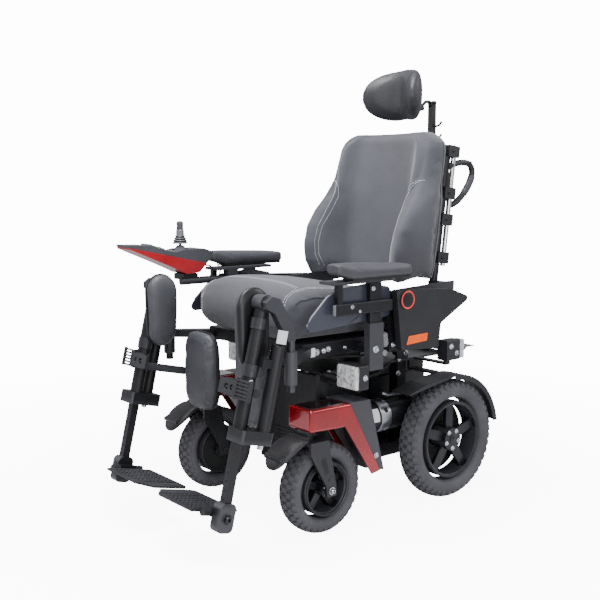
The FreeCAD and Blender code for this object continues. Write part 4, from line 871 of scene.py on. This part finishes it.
def head_trim():
    """Strap hook, headrest link, stalk rail and thumb levers."""
    buckle = Shape().tube([reclined(-0.196, -0.02, 0.395), reclined(-0.214, -0.022, 0.385),
                           reclined(-0.219, -0.024, 0.36), reclined(-0.219, -0.022, 0.335)], 0.0042, 10)
    buckle.piece("back_strap_hook", "shell", "back", "frame_black")
    link = Shape().tube([(0, 0.452, 1.178), (0, 0.462, 1.168), (0, 0.474, 1.168), (0, 0.486, 1.18),
                         (0, 0.5, 1.1915), (0, 0.516, 1.193), (0, 0.531, 1.186)], 0.0052, 12)
    for y, z in ((0.452, 1.178), (0.4805, 1.171), (0.531, 1.186)):
        link.turned([(-0.0078, 0.007), (-0.0065, 0.0085), (0.0065, 0.0085), (0.0078, 0.007)],
                    Vector((0, y, z)), OUT)
    link.piece("headrest_link_arm", "powder", "headrest_link", "frame_black", 0, 40, ["headrest_link"])
    low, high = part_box("headrest_stalk")
    strip = Shape().block((-0.004, high.y - 0.001, low.z + 0.02), (0.004, high.y + 0.001, high.z - 0.03))
    strip.piece("stalk_strip", "chrome", "headrest_stalk", "rod_steel", 0.0004)
    knobs = Shape()
    for height in (1.075, 1.115):
        place = Vector((0.006, high.y, height))
        knobs.tube([place, place + Vector((0.012, 0.006, 0.004)), place + Vector((0.026, 0.002, 0.014))],
                   0.0038, 8)
    knobs.piece("stalk_levers", "shell", "back", "frame_black")


# the recline hinge in side view
HINGE = (0.112, 0.616)


def side_trim():
    """Hinge disc, ring, reflector, knobs and a rib along the seat's sides, and a light grey strip on the side
    guard's edge that is a painted highlight.
    """
    hub = Vector((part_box("recline_cover_left")[1].x, *HINGE))
    steel = Shape().turned([(0, 0.0165), (0.002, 0.018), (0.018, 0.018), (0.0195, 0.0165)],
                           Vector((0.266, *HINGE)), OUT, 28)
    both(steel, "hinge_barrel_{}", "chrome", "seat", "rod_steel")
    ring = circle(hub - OUT * 0.0005, REAR, UP, 0.0235, 64)
    both(Shape().tube(ring, 0.0024, 8, True), "hinge_ring_{}", "ring", "seat", "cover_red")
    disc = Shape().turned([(-0.002, 0.021), (0.0006, 0.021), (0.0014, 0.019), (0.0016, 0.006)], hub, OUT, 36)
    both(disc, "hinge_disc_{}", "shell", "seat", "panel_plastic")
    x = 0.3055
    outline = [(x, 0.112, 0.489), (x, 0.193, 0.493), (x, 0.197, 0.515), (x, 0.121, 0.513)]
    both(Shape().prism(outline, OUT * 0.0025), "reflector_{}", "orange", "seat", "lamp_clear", 0.0008)
    profile = [(0, 0.009), (0.004, 0.012)]
    for k in range(5):
        profile += [(0.006 + k * 0.006, 0.0115), (0.009 + k * 0.006, 0.0138)]
    profile += [(0.038, 0.012), (0.041, 0.007)]
    knob = Shape().turned(profile, Vector((0.283, 0.048, 0.49)), Vector((0.1, -0.25, 1)).normalized(), 10)
    both(knob, "seat_knob_{}", "knob", "seat", "knob_rubber")
    small = Shape().turned([(0, 0.007), (0.008, 0.0085), (0.012, 0.0085), (0.014, 0.005)],
                           Vector((0.285, 0.038, 0.474)), OUT, 16)
    both(small, "seat_small_knob_{}", "knob", "seat", "knob_rubber")
    # A light grey tube along the side guard's front edge: a painted highlight on that edge.
    skin = node_skin("side_guard_left")
    edge = [(-0.235, 0.552), (-0.205, 0.589), (-0.178, 0.615), (-0.15, 0.638), (-0.128, 0.65),
            (-0.105, 0.657)]
    line = [skin.find_nearest(Vector((0.271, y, z)))[0] for y, z in edge]
    trim = [line[0].lerp(line[1], 0.5)] + line[1:]
    both(Shape().tube(trim, 0.003, 8), "guard_painted_highlight_{}", "knob", "seat", "guard_plastic")
    groove = Shape().tube([(0.2745, -0.089, 0.556), (0.2745, -0.035, 0.583)], 0.0012, 6)
    both(groove, "guard_rib_{}", "plastic_grey", "seat", "guard_plastic")


def beam_trim():
    """Holes, bolts and bright end caps on the armrest beams."""
    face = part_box("armrest_post_left")[1].x
    holes, studs = Shape(), Shape()
    for y in (-0.128, -0.1, -0.072, 0.045):
        holes.turned([(-0.002, 0.0045), (0.0004, 0.0045), (0.0006, 0.0038)], Vector((face, y, 0.606)), OUT,
                     14)
    both(holes, "beam_holes_{}", "dark", "armrest_{}", "frame_black")
    for y, z, r in ((-0.086, 0.612, 0.004), (-0.058, 0.598, 0.003)):
        bolt(studs, Vector((face, y, z)), OUT, r)
    bolt(studs, Vector((0.291, -0.002, 0.654)), OUT, 0.0045)
    both(studs, "beam_bolts_{}", "zinc", "armrest_{}", "rod_steel")
    end = Shape().block((0.2895, -0.1465, 0.592), (0.2985, -0.143, 0.620))
    both(end, "beam_cap_{}", "knob", "armrest_{}", "frame_black", 0.0008)


def side_bolts(shape, label, spots, least=0):
    """Bolts on the left face of a CAD node, at (y, z, radius) spots where the face is far enough out."""
    skin = node_skin(label)
    for y, z, radius in spots:
        place, normal = on_skin(skin, (0.4, y, z), (-1, 0, 0))
        if place.x > least:
            bolt(shape, place, normal, radius)


def seat_hardware():
    """Bolts, blank labels and leads along the seat frame."""
    studs = Shape()
    side_bolts(studs, "seat_frame", ((-0.142, 0.486, 0.0062), (-0.117, 0.487, 0.005), (-0.1, 0.49, 0.0055),
                                     (-0.04, 0.488, 0.004), (0.004, 0.488, 0.0068), (0.1, 0.486, 0.005),
                                     (0.2, 0.488, 0.005), (0.26, 0.478, 0.006)), 0.15)
    both(studs, "seat_bolts_{}", "zinc", "seat", "rod_steel")
    place = on_skin(node_skin("seat_frame"), (0.4, -0.165, 0.487), (-1, 0, 0))[0]
    plate = Shape().block((place.x - 0.001, -0.175, 0.476), (place.x + 0.0012, -0.153, 0.5))
    both(plate, "seat_label_{}", "label", "seat", "lamp_clear", 0.0005)
    leads = Shape()
    leads.tube([(0.2, 0.24, 0.462), (0.222, 0.19, 0.455), (0.226, 0.1, 0.462), (0.224, 0.02, 0.458),
                (0.212, -0.08, 0.464), (0.2, -0.16, 0.468)], 0.0036, 8)
    leads.tube([(0.18, 0.26, 0.466), (0.205, 0.2, 0.463), (0.212, 0.08, 0.467), (0.205, -0.06, 0.465)],
               0.0026, 8)
    both(leads, "seat_leads_{}", "dark", "seat", "frame_black")


def base_hardware():
    """Bolts, rear plate, leads, a charge socket with a painted green glow, and vents of the base."""
    studs = Shape()
    side_bolts(studs, "chassis_frame", ((-0.03, 0.403, 0.005), (0.06, 0.403, 0.004), (0.16, 0.403, 0.004),
                                        (0.251, 0.42, 0.0055), (0.294, 0.42, 0.006), (0.265, 0.36, 0.0055),
                                        (0.44, 0.418, 0.004), (0.52, 0.418, 0.004)), 0.1)
    side_bolts(studs, "caster_arm_left", ((0.013, 0.189, 0.0055),))
    side_bolts(studs, "lamp_housings", ((-0.038, 0.414, 0.0055), (0.306, 0.462, 0.0055),
                                        (0.33, 0.44, 0.0055)))
    both(studs, "base_bolts_{}", "zinc", "base", "rod_steel")
    plate = Shape().block((0.14, 0.43, 0.4225), (0.19, 0.543, 0.4245))
    both(plate, "rear_plate_{}", "knob", "base", "frame_black", 0.0006)
    leads = Shape()
    for lift, out in ((0, 0), (0.008, 0.006)):
        leads.tube([(0.128 + out, 0.22, 0.39 + lift), (0.142 + out, 0.16, 0.372 + lift),
                    (0.146 + out, 0.06, 0.366),
                    (0.14 + out, -0.02, 0.372 + lift), (0.122, -0.05, 0.386 + lift)], 0.0034, 8)
    both(leads, "base_leads_{}", "dark", "base", "frame_black")
    # The charge socket glows green by emission though it is no lamp: painted light.
    green = Shape().turned([(0, 0.006), (0.005, 0.006), (0.007, 0.004)], Vector((-0.058, -0.068, 0.301)),
                           -REAR, 18)
    green.piece("charge_socket_painted_glow", "glow", "base", "shroud_plastic")
    vents = Shape()
    for k in range(7):
        z = 0.15 + k * 0.011
        vents.block((-0.05, -0.0686, z), (0.05, -0.0672, z + 0.004))
    vents.piece("shroud_vents", "dark", "base", "shroud_plastic", 0.0004)


def motor_trim():
    """Nose, silver band with windows, blank label and ribs on each gear motor."""
    centre, radius = Vector((0.178, 0, 0.262)), 0.046
    nose = Shape().turned([(0.054, 0.012), (0.055, 0.03), (0.058, 0.039), (0.066, 0.043), (0.104, 0.043)],
                          centre, REAR, 48)
    both(nose, "motor_nose_{}", "shell", "base", "motor_black")
    band = Shape().turned([(0.102, radius - 0.003), (0.103, radius + 0.0018), (0.14, radius + 0.0018),
                           (0.141, radius - 0.001)], centre, REAR, 48)
    both(band, "motor_band_{}", "zinc", "base", "motor_black", 0.0006)
    windows = Shape()
    for degrees in (-60, 30, 75, 120):
        turn = math.radians(degrees)
        out = Vector((math.cos(turn), 0, math.sin(turn)))
        windows.turned([(-0.003, 0.0075), (0.0004, 0.0075), (0.0006, 0.006)],
                       centre + REAR * 0.122 + out * (radius + 0.0018), out, 16)
    both(windows, "motor_windows_{}", "dark", "base", "motor_black")
    rings = []
    around = [(math.radians(a), 0.068) for a in range(-8, 45, 4)]
    around += [(math.radians(a), 0.096) for a in range(44, -9, -4)]
    for r in (radius - 0.0028, radius - 0.002):
        rings.append([centre + Vector((r * math.cos(t), y, r * math.sin(t))) for t, y in around])
    both(Shape().stack(rings), "motor_label_{}", "label", "base", "lamp_clear")
    ribs = Shape()
    for y in (0.212, 0.222, 0.232, 0.242):
        ribs.turned([(y, radius - 0.001), (y, radius + 0.0022), (y + 0.004, radius + 0.0022),
                     (y + 0.004, radius - 0.001)], centre, REAR, 40)
    both(ribs, "motor_ribs_{}", "shell", "base", "motor_black")


def lamp_trim():
    """Reflector bowls and frames for the lamps."""
    bowl = Shape()
    for k in range(3):
        z = 0.39 + k * 0.0185
        bowl.block((0.222, -0.066, z), (0.294, -0.0585, z + 0.014))
    both(bowl, "lamp_bowls_{}", "chrome", "base", "lamp_black", 0.003)
    outline = [(x, -0.0585, z) for x, z in ((0.2155, 0.3795), (0.3, 0.3795), (0.3, 0.4485), (0.2155, 0.4485))]
    both(Shape().tube(outline, 0.0018, 8, True), "lamp_rims_{}", "plastic", "base", "lamp_black")


# the knee in side view, and how far the leg rest leans forward below it
KNEE_Y, KNEE_Z = -0.35, 0.64
LEG_LEAN = math.radians(13.5)


def leg_point(x, y, z):
    """A point given along the leg rest's own axes, in the frame."""
    return Vector((x, KNEE_Y + y * math.cos(LEG_LEAN) + z * math.sin(LEG_LEAN),
                   KNEE_Z + z * math.cos(LEG_LEAN) - y * math.sin(LEG_LEAN)))


def leg_bar(shape, ends, front, rear, low, high):
    """A flat bar across the leg rest, between two x places."""
    corners = ((front, low), (rear, low), (rear, high), (front, high))
    shape.stack([[leg_point(x, y, z) for y, z in corners] for x in ends])


def leg_trim():
    """Knee barrels, collars, bolts, strut labels and rods, and bar ridges on the leg rests."""
    along = leg_point(0, 0, 1) - leg_point(0, 0, 0)
    steel = Shape().turned([(0, 0.0205), (0.001, 0.0217), (0.022, 0.0217), (0.0245, 0.0195), (0.025, 0.012),
                            (0.0235, 0.010)], leg_point(0.239, 0, 0), OUT, 32)
    for z in (-0.066, -0.186):
        steel.turned([(0, 0.0188), (0.001, 0.0205), (0.02, 0.0205), (0.021, 0.0188)],
                     leg_point(0.256, 0, z), along, 28)
    both(steel, "leg_collars_{}", "rim", "leg_{}", "leg_black")
    studs = Shape()
    bolt(studs, leg_point(0.264, 0, 0), OUT, 0.006)
    bolt(studs, leg_point(0.235, 0.018, -0.07), OUT, 0.0042)
    bolt(studs, leg_point(0.276, -0.006, -0.196), OUT, 0.0035)
    both(studs, "leg_bolts_{}", "zinc", "leg_{}", "rod_steel")
    rings = []
    around = [(math.radians(a), -0.058) for a in range(-62, 30, 8)]
    around += [(math.radians(a), -0.092) for a in range(26, -66, -8)]
    for r in (0.0182, 0.019):
        rings.append([leg_point(0.285 + r * math.cos(t), 0.052 + r * math.sin(t), z) for t, z in around])
    both(Shape().stack(rings), "strut_label_{}", "label", "leg_{}", "lamp_clear")
    rod = Shape().tube([leg_point(0.285, 0.052, -0.33), leg_point(0.285, 0.052, -0.36)], 0.008, 12)
    both(rod, "strut_rod_{}", "chrome", "leg_{}", "rod_steel")
    ridges = Shape()
    for k in range(5):
        z = -0.237 + k * 0.008
        half = Vector((0, 0.002, 0.0015))
        ridges.block(leg_point(0.243, -0.0225, z) - half, leg_point(0.272, -0.0225, z) + half)
    both(ridges, "bar_ridges_{}", "plastic_grey", "leg_{}", "leg_black", 0.0006)


def foot_trim():
    """Footplate ribs, light grey as a painted highlight on the black plate's ribs, adjusting holes and
    knuckle bolts.
    """
    plates = Shape()
    skin = node_skin("footplate_left")
    # The ribs are real, but their light grey colour is a painted highlight: the plate and its ribs are black.
    for k in range(11):
        start = on_skin(skin, (0.03 + k * 0.017, -0.53, 0.3), (0, 0, -1))
        end = on_skin(skin, (0.03 + k * 0.017, -0.42, 0.3), (0, 0, -1))
        if start[0].z < 0.16 and end[0].z < 0.16:
            plates.tube([start[0] + UP * 0.0002, end[0] + UP * 0.0002], 0.0017, 6)
    both(plates, "plate_ribs_painted_highlight_{}", "plastic_grey", "footplate_{}", "plate_black")
    pins = Shape()
    for k in range(5):
        spot = leg_point(0.256, -0.0112, -0.405 - k * 0.022)
        pins.turned([(-0.002, 0.0034), (0.0004, 0.0034), (0.0005, 0.0028)], spot,
                    leg_point(0, -1, 0) - leg_point(0, 0, 0), 14)
    both(pins, "foot_holes_{}", "dark", "foot_{}", "foot_black")
    caps = Shape()
    bolt(caps, leg_point(0.2725, 0, -0.54), OUT, 0.009)
    both(caps, "knuckle_bolts_{}", "rim", "foot_{}", "foot_black")


def caster_trim():
    """Slot, hole and axle bolt on each caster fork."""
    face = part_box("caster_fork_left")[1].x - 0.005
    dark, studs = Shape(), Shape()
    axle = Vector((face, -0.155, 0.125))
    head = Vector((face, -0.195, 0.245))
    run = head - axle
    side = OUT.cross(run).normalized() * 0.0075
    slot_low, slot_high = axle + run * 0.42, axle + run * 0.78
    outline = [slot_low - side, slot_low + side, slot_high + side, slot_high - side]
    dark.prism(outline, OUT * 0.0004)
    dark.turned([(-0.002, 0.0036), (0.0006, 0.0036), (0.0008, 0.003)], axle + run * 0.27, OUT, 14)
    both(dark, "fork_slot_{}", "dark", "caster_fork_{}", "fork_black")
    bolt(studs, axle, OUT, 0.007)
    both(studs, "fork_bolts_{}", "zinc", "caster_fork_{}", "rod_steel")


def caster_hoods():
    """Rounded mudguards that reach forward from the caster forks."""
    rings = []
    # y, z, half width and half thickness from the crown to the lip
    path = [(-0.212, 0.266, 0.030, 0.005), (-0.222, 0.270, 0.040, 0.008), (-0.244, 0.267, 0.045, 0.012),
            (-0.268, 0.257, 0.047, 0.014), (-0.29, 0.242, 0.045, 0.013), (-0.307, 0.226, 0.038, 0.011),
            (-0.318, 0.211, 0.026, 0.008), (-0.322, 0.203, 0.010, 0.003)]
    for index, (y, z, wide, thick) in enumerate(path):
        after, before = path[min(index + 1, len(path) - 1)], path[max(index - 1, 0)]
        along = Vector((0, after[0] - before[0], after[1] - before[1])).normalized()
        over = OUT.cross(along)
        rings.append([Vector((0.248 + a, y, z)) + over * b for a, b in superellipse(wide, thick, 2.4, 32)])
    for item in both(Shape().stack(rings), "caster_hood_{}", "plastic", "caster_fork_{}", "fork_black", 0,
                     180):
        refined(item)


def arm_painted_reflections():
    """Dark glossy strips on top of the red arm covers: a painted reflection of the dark chair parts that the
    red lacquer mirrors.
    """
    low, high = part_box("arm_cover_left")
    top = Shape().block((low.x + 0.012, low.y + 0.012, high.z - 0.001),
                        (high.x - 0.012, -0.1, high.z + 0.0012))
    both(top, "arm_cover_painted_reflection_{}", "gloss", "base", "cover_red", 0.001)


def calf_bars():
    """Ridged grip, web and round holes of the bar that carries each calf pad."""
    bar = Shape()
    front, rear = -0.033, -0.0245
    for k in range(6):
        z = -0.243 + k * 0.0088
        leg_bar(bar, (0.252, 0.309), front, rear, z, z + 0.0048)
    for ends in ((0.249, 0.255), (0.306, 0.312)):
        leg_bar(bar, ends, front, rear, -0.245, -0.192)
    leg_bar(bar, (0.25, 0.276), rear - 0.002, -0.012, -0.235, -0.205)
    for x in (0.2365, 0.2125):
        steps = [2 * math.pi * k / 32 for k in range(32)]
        square = [(0.0125 * max(-1, min(1, 1.42 * math.cos(t))), 0.019 * max(-1, min(1, 1.42 * math.sin(t))))
                  for t in steps]
        hole = [(0.0085 * math.cos(t), 0.0085 * math.sin(t)) for t in steps]
        bar.stack([[leg_point(x + a, y, -0.22 + b) for a, b in form]
                   for form, y in ((square, front), (hole, front), (hole, rear), (square, rear))], True)
    leg_bar(bar, (0.182, 0.2005), front, rear, -0.239, -0.201)
    both(bar, "calf_bar_{}", "plastic", "leg_{}", "leg_black", 0.0006)


def joystick():
    """Boot, knob, keypad, keys and lamp of the joystick pod."""
    x, y = -0.28, -0.251
    skin = node_skin("joystick_cover")
    profile = [(0, 0.0225), (0.002, 0.0238), (0.004, 0.0215)]
    for k, r in enumerate((0.0215, 0.019, 0.0165)):
        profile += [(0.006 + k * 0.0065, r - 0.0035), (0.009 + k * 0.0065, r),
                    (0.0105 + k * 0.0065, r - 0.001)]
    profile += [(0.027, 0.0075), (0.031, 0.006)]
    boot = Shape().turned(profile, Vector((x, y, 0.7565)), UP, 32)
    boot.piece("joystick_boot", "plastic_grey", "joystick_gimbal", "gimbal_black")
    knob = Shape().turned([(0, 0.0065), (0.003, 0.0095), (0.012, 0.0105), (0.022, 0.0098), (0.031, 0.0105),
                           (0.035, 0.008), (0.0365, 0.003)], Vector((x, y, 0.787)), UP, 28)
    knob.piece("joystick_knob", "plastic_grey", "joystick_lever", "knob_rubber")
    outline = [(x - 0.024, -0.372), (x + 0.024, -0.372), (x + 0.026, -0.318), (x - 0.026, -0.318)]
    base_ring = [on_skin(skin, (px, py, 0.9), (0, 0, -1))[0] - UP * 0.001 for px, py in outline]
    Shape().prism(base_ring, UP * 0.0065).piece("keypad", "knob", "joystick_pod", "pod_black", 0.002)
    keys = Shape()
    for row, col in product(range(2), range(3)):
        px, py = x - 0.015 + col * 0.015, -0.360 + row * 0.028
        place = on_skin(skin, (px, py, 0.9), (0, 0, -1))[0] + UP * 0.0055
        keys.turned([(0, 0.0052), (0.0012, 0.005), (0.0018, 0.004)], place, UP, 16)
    keys.piece("keypad_keys", "shell", "joystick_pod", "pod_black")
    place = on_skin(skin, (x + 0.033, -0.345, 0.9), (0, 0, -1))[0]
    lamp = Shape().turned([(-0.001, 0.0034), (0.0012, 0.003), (0.0018, 0.0015)], place, UP, 14)
    lamp.piece("pod_lamp", "glow", "joystick_pod", "pod_black")


def right_leads():
    """Thin held leads under the right armrest, and the bronze nut on its hinge."""
    lead = Shape().tube([(-0.262, -0.165, 0.712), (-0.255, -0.14, 0.7), (-0.25, -0.128, 0.67),
                         (-0.252, -0.135, 0.65)], 0.002)
    lead.piece("pod_lead", "dark", "joystick_pod", "pod_black")
    arch = Shape().tube([(-0.262, -0.02, 0.676), (-0.258, -0.05, 0.672), (-0.252, -0.09, 0.655),
                         (-0.252, -0.1, 0.636)], 0.002, 8)
    arch.piece("arm_lead", "dark", "armrest_right", "frame_black")
    bronze = Shape().turned([(0, 0.012), (0.004, 0.012), (0.007, 0.009), (0.007, 0.004)],
                            Vector((-0.266, *HINGE)), OUT)
    bronze.piece("hinge_nut", "brass", "seat", "rod_steel")


def soften(nodes):
    """Round the corners of hard CAD nodes that stay in view."""
    for label, width in (("recline_cover", 0.006), ("joystick_cover", 0.0015), ("arm_cover", 0.008),
                         ("rear_fender", 0.0015), ("footplate", 0.0012), ("lamp_lenses", 0.003),
                         ("caster_fork", 0.0015), ("drive_rim", 0.002), ("caster_rim", 0.0015),
                         ("hanger", 0.001), ("leg_frame", 0.0012), ("push_handles", 0.002),
                         ("side_guard", 0.002),
                         ("caster_arm", 0.0015), ("foot_tube", 0.004), ("front_shroud", 0.002)):
        for name, node in nodes.items():
            if name.startswith(label) and not node.hide_render:
                bevelled(node, width)


studio()
clothe(frame["nodes"])
for build in (seat_pad, back_pad, head_pad, arm_pads, knee_pads, calf_pads, wheels, back_trim, push_handles,
              head_trim, side_trim, beam_trim, seat_hardware, base_hardware, motor_trim, lamp_trim, leg_trim,
              foot_trim, caster_trim, caster_hoods, arm_painted_reflections, calf_bars, joystick, right_leads):
    build()
soften(frame["nodes"])
